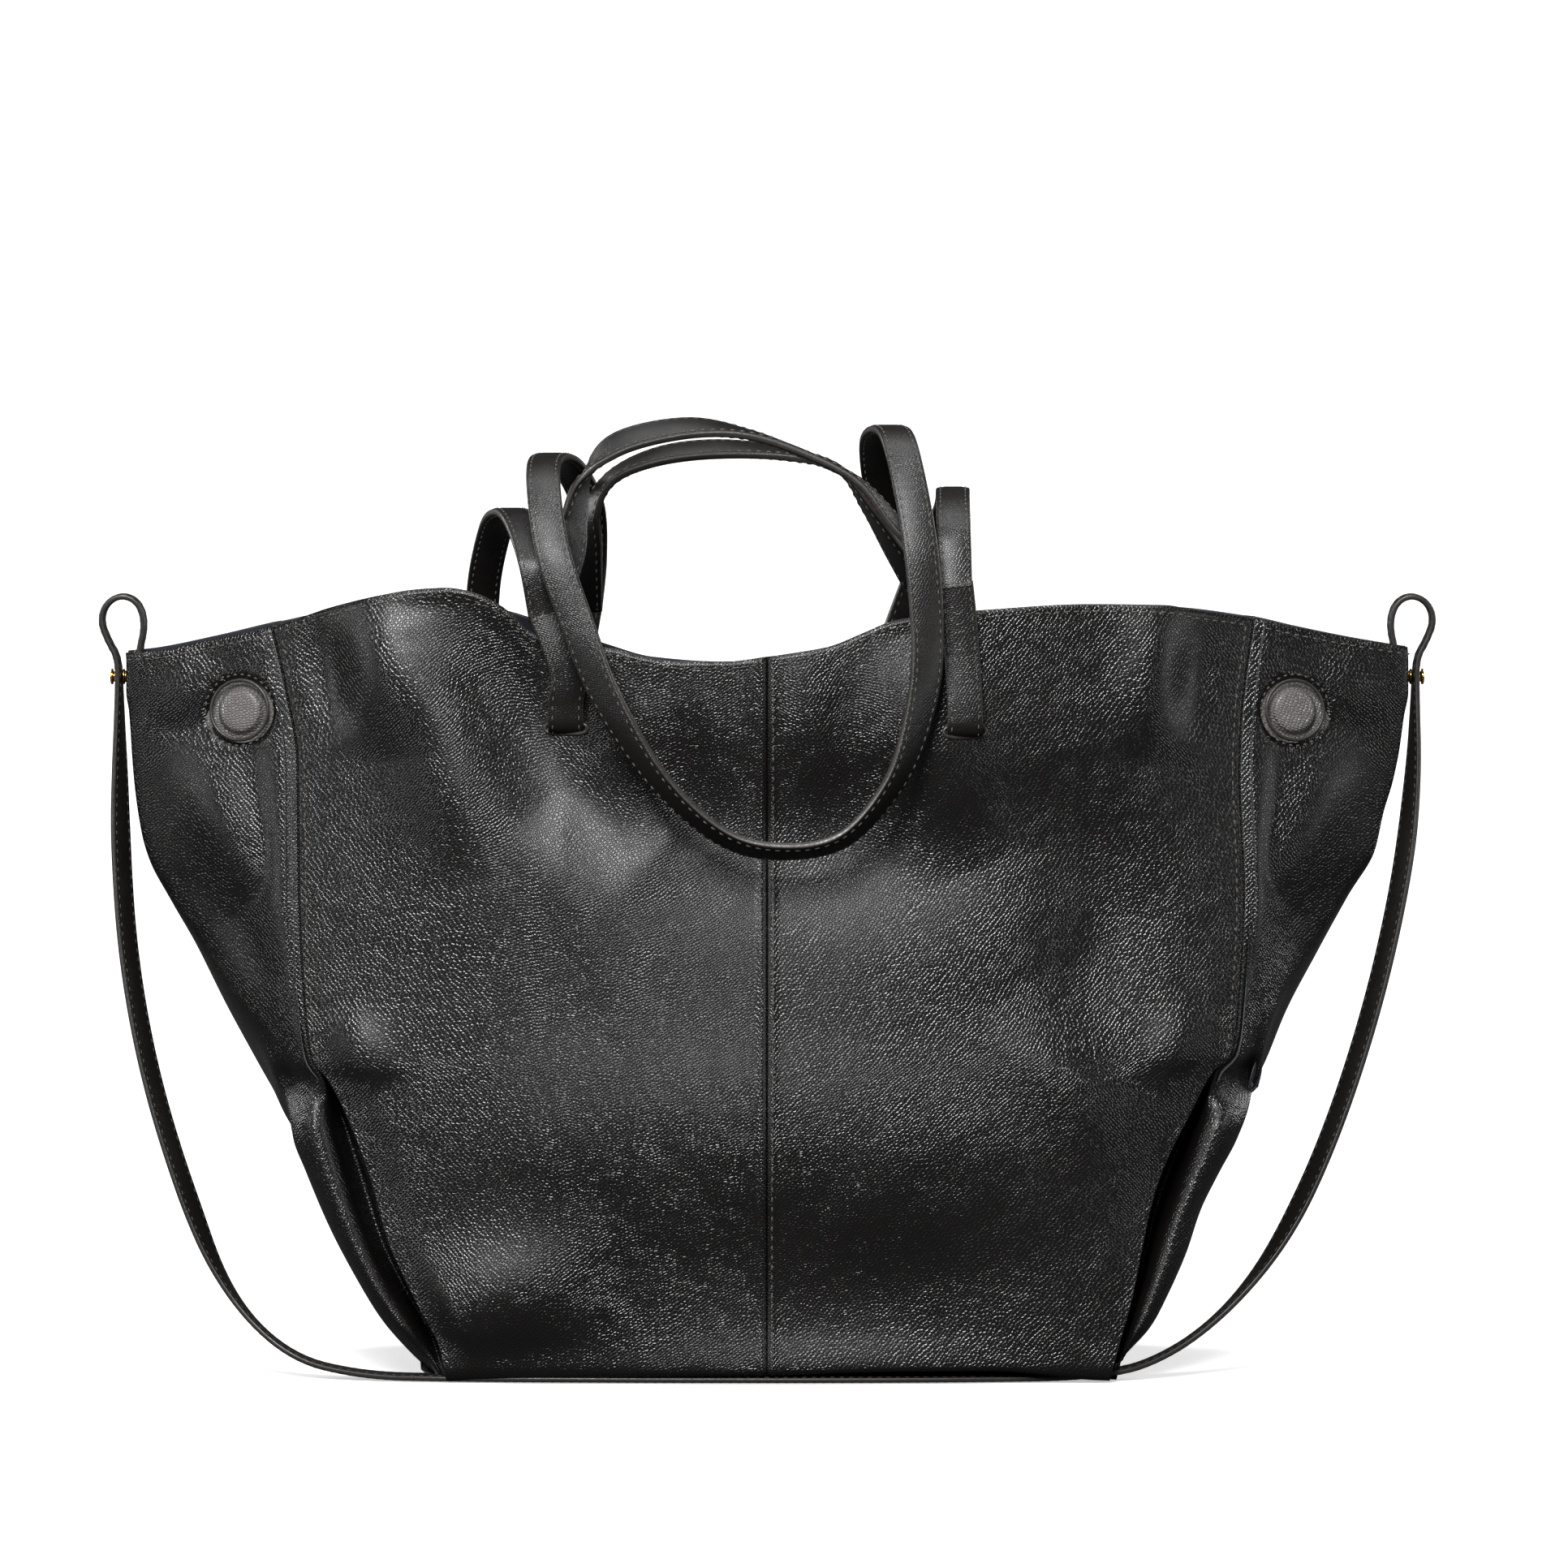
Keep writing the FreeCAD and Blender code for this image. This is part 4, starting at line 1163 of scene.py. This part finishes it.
@dataclass
class Handles:
    """The two long and two short handles on their folded tabs."""

    section: StrapSection = field(default_factory=StrapSection)
    pitch: float = 1.6
    lap: float = 3.0

    def strap(self, name: str, points: Sequence[Point], across: Sequence[Point], body: str,
              replaced: Sequence[str], blend: tuple[str, Point, Point] | None = None,
              section: StrapSection | None = None) -> list[Station]:
        """Make one strap with its stitches.

        Args:
            name: The strap's name.
            points: The points that it goes through, in millimetres.
            across: The way across it at each.
            body: The body that it rides on, when no blend is given.
            replaced: The CAD nodes that it stands for.
            blend: A moving body and where a bend starts and ends, in millimetres; only whether it is given is
                used: with one, the strap and its stitches ride on no body and have their transforms baked.
            section: Its section, or None for the usual one.

        Returns:
            The strap's stations.
        """
        section = section or self.section
        stations = stations_along(points, across, self.pitch)
        shape = strap_shape(stations, section)
        piece = new_piece(name, shape, body, (STRAP.name, EDGE.name), replaced,
                          blend is None)
        sewn = Thread(length=2.7, width=0.7, height=0.36).sew(strap_stitches(stations, section))
        thread = new_piece(f"{name}_stitches", sewn, body, (SEWN.name,), (), blend is None)
        if blend:
            for part in (piece, thread):
                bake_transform(part)
        return stations

    def build(self, shell: Shell) -> None:
        """Make every tab and handle.

        Args:
            shell: The walls, which say where the tabs stand.
        """
        tops = {(face, side): self.tab(shell, face, side, top, slit, lean)
                for face, side, top, slit, lean in TABS}
        self.long_front(tops)
        self.long_back(tops)
        self.short(tops)

    def tab(self, shell: Shell, face: Face, side: Side, top: tuple[float, float], slit: tuple[float, float],
            lean: float) -> tuple[Point, Point]:
        """Make one folded tab.

        Args:
            shell: The walls.
            face: The wall that it goes through.
            side: Its half of the bag.
            top: (x, z) of its stitched top.
            slit: (x, z) of the slit.
            lean: x halfway up.

        Returns:
            The outer and inner top ends.
        """
        def at(x: float, z: float, off: float) -> Point:
            """A point off the wall's outside."""
            return x, face.value * (shell.wall_y(x, min(z, 298), face) + off), z

        rise = (top[1] + slit[1]) / 2
        outer, inner = 3.4, -5.4
        points = [at(top[0], top[1], outer), at(mix(top[0], lean, 0.6), mix(top[1], rise, 0.6), outer + 0.4),
                  at(lean, rise - 4, outer + 0.3), at(slit[0], slit[1] + 7, outer - 0.1),
                  at(slit[0], slit[1] - 1.6, 2.2), at(slit[0], slit[1] - 2.6, -2.4),
                  at(slit[0], slit[1] + 7, inner), at(lean, rise, inner - 0.3), at(top[0], top[1], inner)]
        name = f"{face.name.lower()}_tab_{side.name.lower()}"
        wide = StrapSection(width=14.6, thick=2.9)
        stations = self.strap(f"{name}_leather", points, [ACROSS] * len(points), "bag", [name], section=wide)
        bars = []
        for station, out in ((stations[1], 1), (stations[-2], -1)):
            for k in (-2, -1, 0, 1, 2):
                spot = station.middle + station.across * 2.6 * k + Vector((0, face.value * out * 1.75, 0))
                bars.append(Stitch(spot, station.across, Vector((0, face.value * out, 0))))
        sewn = Thread(length=2.1, width=0.9, height=0.5).sew(bars)
        new_piece(f"{name}_bar_stitches", sewn, "bag", (SEWN.name,))
        self.slit_lips(shell, face, slit)
        lapped = tuple((x, y, z - self.lap) for x, y, z in (points[0], points[-1]))
        return lapped[0], lapped[1]

    def slit_lips(self, shell: Shell, face: Face, slit: tuple[float, float]) -> None:
        """Make the dark bound lip of a slit, a flat ring that the tab goes through.

        Args:
            shell: The walls.
            face: The wall that it is on.
            slit: (x, z) of the slit's middle.
        """
        ring = []
        for k in range(40):
            angle = 2 * math.pi * k / 40
            c, s = math.cos(angle), math.sin(angle)
            x = slit[0] + math.copysign(abs(c) ** 0.5, c) * 8.6
            z = slit[1] - 2.6 + math.copysign(abs(s) ** 0.8, s) * 2.3
            ring.append((x, face.value * (shell.wall_y(x, z, face) + 0.25), z))
        ring += ring[:3]

        def place(across: float, along: float) -> Vector:
            """The lip's point for a share round its rim and along it."""
            station = 1 + along * 40
            middle = Vector(spline(ring, station))
            ahead = (Vector(spline(ring, min(station + 0.3, 41.9))) - middle).normalized()
            out = Vector((0, face.value, 0))
            wide = ahead.cross(out).normalized()
            angle = 2 * math.pi * across
            return middle + wide * math.cos(angle) * 0.8 + out * math.sin(angle) * 0.55

        shape = lofted(8, 80, place, closed=True)
        bmesh.ops.recalc_face_normals(shape, faces=shape.faces)
        where = "left" if slit[0] < 0 else "right"
        new_piece(f"{face.name.lower()}_slit_lip_{where}", shape, "bag", (EDGE.name,))

    def long_front(self, tops: dict) -> None:
        """Make the long handle that stands on the back tabs and hangs in front."""
        left, right = tops[Face.BACK, Side.LEFT][0], tops[Face.BACK, Side.RIGHT][0]
        points = [left, (-74, 50, 332), (-75, 42, 354), (-83, 16, 371), (-90, -16, 374), (-91, -42, 364),
                  (-87, -57, 338), (-78, -62, 311), (-65, -66, 278), (-43, -69, 244), (-18, -71, 222),
                  (6, -72, 216), (31, -71, 221), (51, -68, 243), (61, -65, 269), (65, -62, 298),
                  (62, -57, 340), (55, -40, 377), (50, -14, 386), (45, 18, 379), (49, 43, 354),
                  (61, 50, 330), right]
        across = [ACROSS, ACROSS, ACROSS, ACROSS, ACROSS, ACROSS, (1, 0, 0.1), (1, -0.15, 0.15),
                  (0.9, -0.6, 0.3), (0.5, -1, 0.5), (0.2, -1, 0.5), (0, -1, 0.45), (-0.3, -1, 0.35),
                  (-0.7, -1, 0.1), (-0.95, -0.75, 0), (-1, -0.4, 0), (-1, -0.1, 0), (-1, 0, 0),
                  (-1, 0, 0), (-1, 0, 0), (-1, 0, 0), (-1, 0, 0), (-1, 0, 0)]
        self.strap("long_handle_front", points, across, "bag",
                   ["front_drop", "front_drop_left_leg", "front_drop_right_leg"],
                   ("front_loop", (0, -26, 377), (0, -52, 366)))

    def long_back(self, tops: dict) -> None:
        """Make the long handle that stands on the front tabs and hangs behind."""
        left, right = tops[Face.FRONT, Side.LEFT][0], tops[Face.FRONT, Side.RIGHT][0]
        points = [left, (-94.5, -42, 333), (-101, -20, 348.5), (-107, 4, 351.5), (-113, 30, 344),
                  (-119, 56, 318), (-118, 62, 290), (-102, 66, 256), (-74, 69, 230), (-38, 71, 218),
                  (0, 71, 222), (26, 71, 242), (44, 72, 272), (58, 71, 308), (69, 63, 336), (76, 42, 352),
                  (76.5, 8, 360), (76, -20, 358), (76, -40, 345), right]
        across = [ACROSS, ACROSS, ACROSS, ACROSS, ACROSS, (1, 0.1, 0), (1, 0.3, 0), (1, 0.7, 0.2),
                  (0.5, 1, 0), (0, 1, 0), (-0.2, 1, 0), (0.5, 1, 0), (0.9, 0.6, 0), (1, 0.3, 0), ACROSS,
                  ACROSS, ACROSS, ACROSS, ACROSS, ACROSS]
        self.strap("long_handle_back", points, across, "bag",
                   ["back_drop", "back_drop_left_leg", "back_drop_right_leg"],
                   ("back_loop", (0, 14, 353), (0, 46, 345)))

    def short(self, tops: dict) -> None:
        """Make the two short handles, on the tabs' inner ends."""
        left, right = tops[Face.FRONT, Side.LEFT][1], tops[Face.FRONT, Side.RIGHT][1]
        points = [left, (-81.5, -29, 334), (-79, -25, 349), (-74.5, -23.5, 366), (-61, -22, 380),
                  (-33, -22, 386.5), (-8, -22, 384), (17, -22, 375), (38, -23, 364), (54, -26, 346),
                  (68, -30, 334), right]
        across = [ACROSS, (1, 0.35, 0), (0.8, 0.8, 0.2), (0.45, 1, 0.5), (-0.2, 1, 0.75), (-0.1, 1, 0.6),
                  (0, 1, 0.12), (0, 1, -0.05), (0.1, 1, 0), (0.5, 1, 0), (0.9, 0.6, 0), ACROSS]
        self.strap("short_handle_front", points, across, "bag", ["front_short_handle"],
                   ("front_grip", (0, -37, 312), (0, -37, 330)))
        left, right = tops[Face.BACK, Side.LEFT][1], tops[Face.BACK, Side.RIGHT][1]
        points = [left, (-75, 28, 336), (-73, 22, 352), (-64, 18, 366), (-45, 16, 374.5),
                  (-20, 15, 377.5), (8, 16, 375.5), (30, 17, 369), (42, 20, 353), (55, 27, 332), right]
        across = [ACROSS, (1, -0.5, 0), (0.6, -1, 0.2), (0.2, -1, -0.2), (0, -1, -0.5), (0, -1, -0.5),
                  (0, -1, -0.25), (0, -1, 0), (0.3, -1, 0), (0.7, -0.8, 0), ACROSS]
        self.strap("short_handle_back", points, across, "bag", ["back_short_handle"],
                   ("back_grip", (0, 37, 313), (0, 37, 326)))


HALF_ROUTE = [
    (259.3, 0, 281), (259.2, 0, 293), (256.3, 0, 305.5), (258.8, 0, 314.5), (265.5, 0, 317.8),
    (272.3, 0, 314.5), (274.8, 0, 307), (271.5, 0, 298.5), (267.4, 0, 291.5), (267.2, 0, 276),
]
LEFT_HANG = [
    (-267, -2, 252), (-266.5, -6, 213), (-263, -13, 168), (-254, -22, 122), (-240, -32, 78), (-222, -41, 34),
    (-196, -49, 8), (-165, -56, 1.2),
]
UNDER_BASE = [(-128, -63, 1.2), (-75, -66, 1.2), (0, -67.5, 1.2), (72, -66, 1.2), (139, -59, 1.2)]
RIGHT_HANG = [
    (165, -52, 9.5), (190, -44, 28), (212, -36, 56), (232, -28, 98), (250, -18, 152), (262, -10, 205),
    (266.4, -4, 245),
]


@dataclass
class ShoulderStrap:
    """The flat strap that hangs from wing to wing."""

    width: float = 12.0
    thick: float = 2.4

    def line(self) -> list[Vector]:
        """The strap's smooth line, in millimetres, read from a curve through its route."""
        route = ([(-x, y, z) for x, y, z in HALF_ROUTE] + LEFT_HANG + UNDER_BASE + RIGHT_HANG
                 + list(reversed(HALF_ROUTE)))
        curve = bpy.data.curves.new("strap_line", "CURVE")
        curve.dimensions = "3D"
        curve.resolution_u = 16
        run = curve.splines.new("NURBS")
        run.points.add(len(route) - 1)
        for knot, point in zip(run.points, route):
            knot.co = (*point, 1.0)
        run.order_u = 3
        run.use_endpoint_u = True
        holder = bpy.data.objects.new("strap_line", curve)
        bpy.context.scene.collection.objects.link(holder)
        bpy.context.view_layer.update()
        mesh = bpy.data.meshes.new_from_object(holder)
        found = [vertex.co.copy() for vertex in mesh.vertices]
        bpy.data.objects.remove(holder)
        bpy.data.curves.remove(curve)
        bpy.data.meshes.remove(mesh)
        kept = found[:1]
        for point in found[1:]:
            if (point - kept[-1]).length > 0.2:
                kept.append(point)
        return kept

    def build(self) -> None:
        line = self.line()
        across = []
        for point in line:
            show = smooth((300 - point.z) / 90) * smooth((point.z - 14) / 60) * 0.55
            across.append(Vector((-math.copysign(show, point.x), 1 - show * 0.2, 0)))
        stations = []
        for i, point in enumerate(line):
            along = (line[min(i + 1, len(line) - 1)] - line[max(i - 1, 0)]).normalized()
            wide = (across[i] - along * across[i].dot(along)).normalized()
            stations.append(Station(point, along, wide, along.cross(wide).normalized()))
        section = StrapSection(width=self.width, thick=self.thick, crown=0.12, pinch=0.12, stitch_margin=1.7)
        shape = strap_shape(stations, section)
        piece = new_piece("shoulder_strap_leather", shape, "bag", (STRAP.name, EDGE.name),
                          ["shoulder_strap"])
        stitches = strap_stitches(stations, section, 3.8)
        sewn = Thread(length=2.5, width=0.6, height=0.14, sink=-0.06).sew(stitches)
        thread = new_piece("shoulder_strap_stitches", sewn, "bag", (SEWN.name,))
        length = sum((b - a).length for a, b in zip(line, line[1:])) * MM
        log.info("shoulder strap: %.3f m", length)


# ---------------------------------------------------------------------------------------------- hardware
def turned(profile: Sequence[tuple[float, float]], steps: int = 32) -> bmesh.types.BMesh:
    """A turned shape: a profile of (radius, height) pairs spun about +Z.

    Args:
        profile: The outline from the axis at the top to the axis at the foot.
        steps: Faces round.

    Returns:
        The closed shape, in its own units.
    """
    shape = bmesh.new()
    corners = [shape.verts.new((radius, 0, height)) for radius, height in profile]
    edges = [shape.edges.new(pair) for pair in zip(corners, corners[1:])]
    bmesh.ops.spin(shape, geom=corners + edges, cent=(0, 0, 0), axis=(0, 0, 1), angle=2 * math.pi,
                   steps=steps, use_merge=True)
    bmesh.ops.remove_doubles(shape, verts=shape.verts, dist=1e-5)
    bmesh.ops.recalc_face_normals(shape, faces=shape.faces)
    return shape


@dataclass
class Magnets:
    """The covered magnets on the wings."""

    dome_radius: float = 8.9
    lip_radius: float = 13.0
    ring_radius: float = 14.6
    flange_radius: float = 16.6
    ring_stitches: int = 30

    def axis(self, node: str) -> tuple[Vector, Vector]:
        """A magnet's middle and its axis out of the bag, in metres, from its flat disc.

        Args:
            node: The magnet's CAD node.

        Returns:
            (middle, unit axis).
        """
        points = np.array([tuple(v.co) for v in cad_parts[node].data.vertices])
        middle = points.mean(0)
        _, _, axes = np.linalg.svd(points - middle)
        out = Vector(axes[2])
        if out.y * middle[1] < 0:
            out.negate()
        return Vector(middle), out

    def build(self) -> None:
        """Make each cover with its lip and ring of stitches."""
        threads: list[Stitch] = []
        for face in Face:
            for side in Side:
                where = f"{face.name.lower()}_{side.name.lower()}"
                middle, out = self.axis(f"magnet_{where}")
                turn = Vector((0, 0, 1)).rotation_difference(out).to_matrix().to_4x4()
                place = Matrix.Translation(middle) @ turn @ Matrix.Scale(MM, 4)
                self.cover(where, place)
                self.lip(where, place)
                threads += self.ring(place)
        new_piece("magnet_stitches", Thread(length=1.9, width=0.9, height=0.4).sew(threads), "bag",
                  (SEWN.name,))

    def cover(self, where: str, place: Matrix) -> None:
        """Make one domed cover: a leather disc drawn tight over the magnet."""
        r = self.dome_radius
        outline = [(0, 3.25), (r * 0.55, 3.15), (r * 0.82, 2.85), (r * 0.95, 2.3), (r * 1.02, 1.3),
                   (r * 1.08, 0.2), (r * 1.2, -0.7), (self.flange_radius - 1, -1.1),
                   (self.flange_radius, -1.5), (self.flange_radius - 0.4, -2.2), (r, -2.3), (0, -2.3)]
        fine = [tuple(spline(outline, i / 4)) for i in range((len(outline) - 1) * 4 + 1)]
        shape = turned([(max(a, 0.0), b) for a, b in fine], 56)
        layer = shape.loops.layers.uv.new("grain")
        for polygon in shape.faces:
            for corner in polygon.loops:
                corner[layer].uv = (corner.vert.co.x * MM, corner.vert.co.y * MM)
        bmesh.ops.transform(shape, matrix=place, verts=shape.verts)
        # The cover's finish has a painted highlight in its base colour.
        new_piece(f"magnet_cover_{where}_leather", shape, "bag", (PAINTED_HIGHLIGHT_COVER.name,),
                  [f"magnet_cover_{where}"])

    def lip(self, where: str, place: Matrix) -> None:
        """Make the rolled rim of the window round a cover."""
        outline = [(self.lip_radius - 0.75 + 0.75 * math.cos(a), 2.75 + 0.75 * math.sin(a))
                   for a in (2 * math.pi * k / 12 for k in range(13))]
        shape = turned(outline, 64)
        bmesh.ops.transform(shape, matrix=place, verts=shape.verts)
        new_piece(f"magnet_rim_{where}", shape, "bag", (EDGE.name,))

    def ring(self, place: Matrix) -> list[Stitch]:
        """The stitches round one window."""
        found = []
        spin = place.to_3x3().normalized()
        for k in range(self.ring_stitches):
            angle = 2 * math.pi * k / self.ring_stitches
            spot = Vector((math.cos(angle), math.sin(angle), 0)) * self.ring_radius + Vector((0, 0, 3.0))
            along = spin @ Vector((-math.sin(angle), math.cos(angle), 0))
            found.append(Stitch(place @ spot / MM, along, spin @ Vector((0, 0, 1))))
        return found


@dataclass
class Studs:
    """The screw studs that pin the shoulder strap to the wings."""

    height: float = 284.0
    face: float = 263.0
    head_radius: float = 3.3

    def build(self) -> None:
        """Make each stud's head with its post, and its collar."""
        r = self.head_radius
        head = [(0, 8.0), (r * 0.5, 7.9), (r * 0.86, 7.7), (r, 7.3), (r, 6.7), (r * 0.66, 6.4),
                (r * 0.62, 6.0), (r * 0.9, 5.85), (r * 0.9, 5.7), (1.5, 5.65), (1.5, -5.2), (0, -5.2)]
        collar = [(1.6, 2.75), (r * 0.84, 2.7), (r * 0.96, 2.45), (r * 0.96, 1.9), (r * 0.7, 1.6),
                  (r * 0.7, 1.2), (r, 0.95), (r, 0.45), (r * 0.8, 0.3), (1.6, 0.3), (1.6, 2.75)]
        for side in Side:
            name = side.name.lower()
            turn = Vector((0, 0, 1)).rotation_difference(Vector((side.value, 0, 0))).to_matrix().to_4x4()
            start = Matrix.Translation(Vector((side.value * self.face, 0, self.height)) * MM)
            place = start @ turn @ Matrix.Scale(MM, 4)
            for part, outline in (("post", head), ("collar", collar)):
                shape = turned(outline, 40)
                bmesh.ops.transform(shape, matrix=place, verts=shape.verts)
                new_piece(f"{name}_stud_{part}_metal", shape, "bag", (GOLD.name,),
                          [f"{name}_stud_{part}"])


# ---------------------------------------------------------------------------------------------- studio
@dataclass
class Studio:
    """The white sweep, the soft lights and the camera."""

    distance: float = 3.4
    rise: float = 3.0
    frame_width: float = 0.6376
    aim: Point = (0.0069, -0.05, 0.2422)
    sensor: float = 36.0
    paper_half: float = 4.0
    paper_bend: float = 1.2
    paper_drop: float = 0.0004
    paper_glow: float = 0.5
    paper_tones: tuple[float, float] = (0.06, 0.93)
    sky_glow: float = 0.02

    def build(self) -> None:
        """Set up the camera, the sweep, the world and the lights."""
        self.camera()
        self.sweep(self.paper())
        self.world()
        self.lights()

    def camera(self) -> None:
        """Place a long lens a little above the bag's mouth."""
        data = bpy.data.cameras.new("camera")
        data.sensor_width = self.sensor
        data.lens = self.sensor * self.distance / self.frame_width
        camera = bpy.data.objects.new("camera", data)
        bpy.context.scene.collection.objects.link(camera)
        angle = math.radians(self.rise)
        away = Vector((0, -math.cos(angle), math.sin(angle))) * self.distance
        camera.location = Vector(self.aim) + away
        camera.rotation_euler = (-away).to_track_quat("-Z", "Y").to_euler()
        bpy.context.scene.camera = camera
        bpy.context.scene.view_settings.view_transform = "Standard"

    def paper(self) -> bpy.types.Material:
        """Make the paper: white to the camera, dark in reflections and clear from its back."""
        nodes, surface = new_material("paper")
        seen = nodes.add("LightPath").outputs["Is Camera Ray"]
        dark, pale = ((tone, tone, tone) for tone in self.paper_tones)
        from_behind = nodes.add("NewGeometry").outputs["Backfacing"]
        nodes.feed(surface, Base_Color=nodes.tint(seen, dark, pale), Roughness=0.9, Specular_IOR_Level=0.1,
                   Emission_Color=nodes.tint(seen, (0, 0, 0), (1, 1, 1)), Emission_Strength=self.paper_glow,
                   Alpha=nodes.math("SUBTRACT", 1.0, from_behind))
        return bpy.data.materials["paper"]

    def sweep(self, paper: bpy.types.Material) -> None:
        """Lay the paper as a floor that curves up into a backdrop."""
        shape = bmesh.new()
        bmesh.ops.create_grid(shape, x_segments=60, y_segments=60, size=self.paper_half)
        for vertex in shape.verts:
            past = max(vertex.co.y - self.paper_bend, 0.0)
            vertex.co.z = -self.paper_drop + past * past / self.paper_bend
            vertex.co.y -= past * 0.45
        mesh = bpy.data.meshes.new("floor")
        for polygon in shape.faces:
            polygon.smooth = True
        shape.to_mesh(mesh)
        shape.free()
        mesh.materials.append(paper)
        floor = bpy.data.objects.new("floor", mesh)
        bpy.context.scene.collection.objects.link(floor)

    def world(self) -> None:
        """Make the world: white to the camera, and only a faint light on the bag."""
        world = bpy.data.worlds.new("studio")
        world.use_nodes = True
        nodes, white = Nodes(world.node_tree), (1, 1, 1, 1)
        faint = world.node_tree.nodes["Background"]
        nodes.feed(faint, Color=white, Strength=self.sky_glow)
        full = nodes.add("Background", Color=white, Strength=1.0)
        seen = nodes.add("LightPath").outputs["Is Camera Ray"]
        either = nodes.add("MixShader", i0=seen, i1=faint.outputs[0], i2=full.outputs[0])
        nodes.feed(world.node_tree.nodes["World Output"], Surface=either.outputs[0])
        bpy.context.scene.world = world

    def lights(self) -> None:
        """Hang the soft boxes: one in front above, one overhead, one at each side and two behind."""
        for name, place, size, power, target in (
                ("top_box", (-0.27, -1.55, 1.36), (0.6, 0.75), 44.0, (-0.02, -0.05, 0.2)),
                ("sky_box", (0, 0.0, 1.9), (1.4, 0.8), 14.0, (0, 0, 0.2)),
                ("left_box", (-1.6, -0.8, 0.7), (0.5, 0.9), 8.0, (0, 0, 0.2)),
                ("right_box", (1.6, -0.7, 0.65), (0.5, 0.9), 6.5, (0, 0, 0.2)),
                ("back_left", (-1.3, 0.9, 0.8), (0.5, 1.2), 12.0, (0, 0, 0.2)),
                ("back_right", (1.3, 0.9, 0.8), (0.5, 1.2), 12.0, (0, 0, 0.2))):
            data = bpy.data.lights.new(name, "AREA")
            data.shape = "RECTANGLE"
            data.size, data.size_y = size
            data.energy = power
            lamp = bpy.data.objects.new(name, data)
            lamp.location = place
            lamp.rotation_euler = (Vector(target) - Vector(place)).to_track_quat("-Z", "Y").to_euler()
            bpy.context.scene.collection.objects.link(lamp)


# ---------------------------------------------------------------------------------------------- making
def dress(node: str, finish: str) -> None:
    """Give a CAD node that stays in sight a finish."""
    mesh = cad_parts[node].data
    mesh.materials.clear()
    mesh.materials.append(bpy.data.materials[finish])


def main() -> None:
    """Make the studio, the finishes and every piece of the bag."""
    logging.basicConfig(level=logging.INFO, format="%(name)s: %(message)s")
    grain_group()
    wear_group()
    for finish in (BODY, STRAP, PAINTED_HIGHLIGHT_COVER, EDGE, SUEDE, SEWN, BOARD, GOLD, STEEL):
        finish.make()
    Studio().build()
    ShoulderStrap().build()
    shell = Shell()
    shell.build_panels()
    shell.build_gussets()
    shell.build_base()
    shell.build_threads()
    Handles().build(shell)
    Magnets().build()
    Studs().build()
    dress("base_board", BOARD.name)
    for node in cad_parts:
        if node.startswith("magnet_") and "cover" not in node:
            dress(node, STEEL.name)
        if node.endswith("stud_screw"):
            dress(node, GOLD.name)


if __name__ == "__main__":
    main()
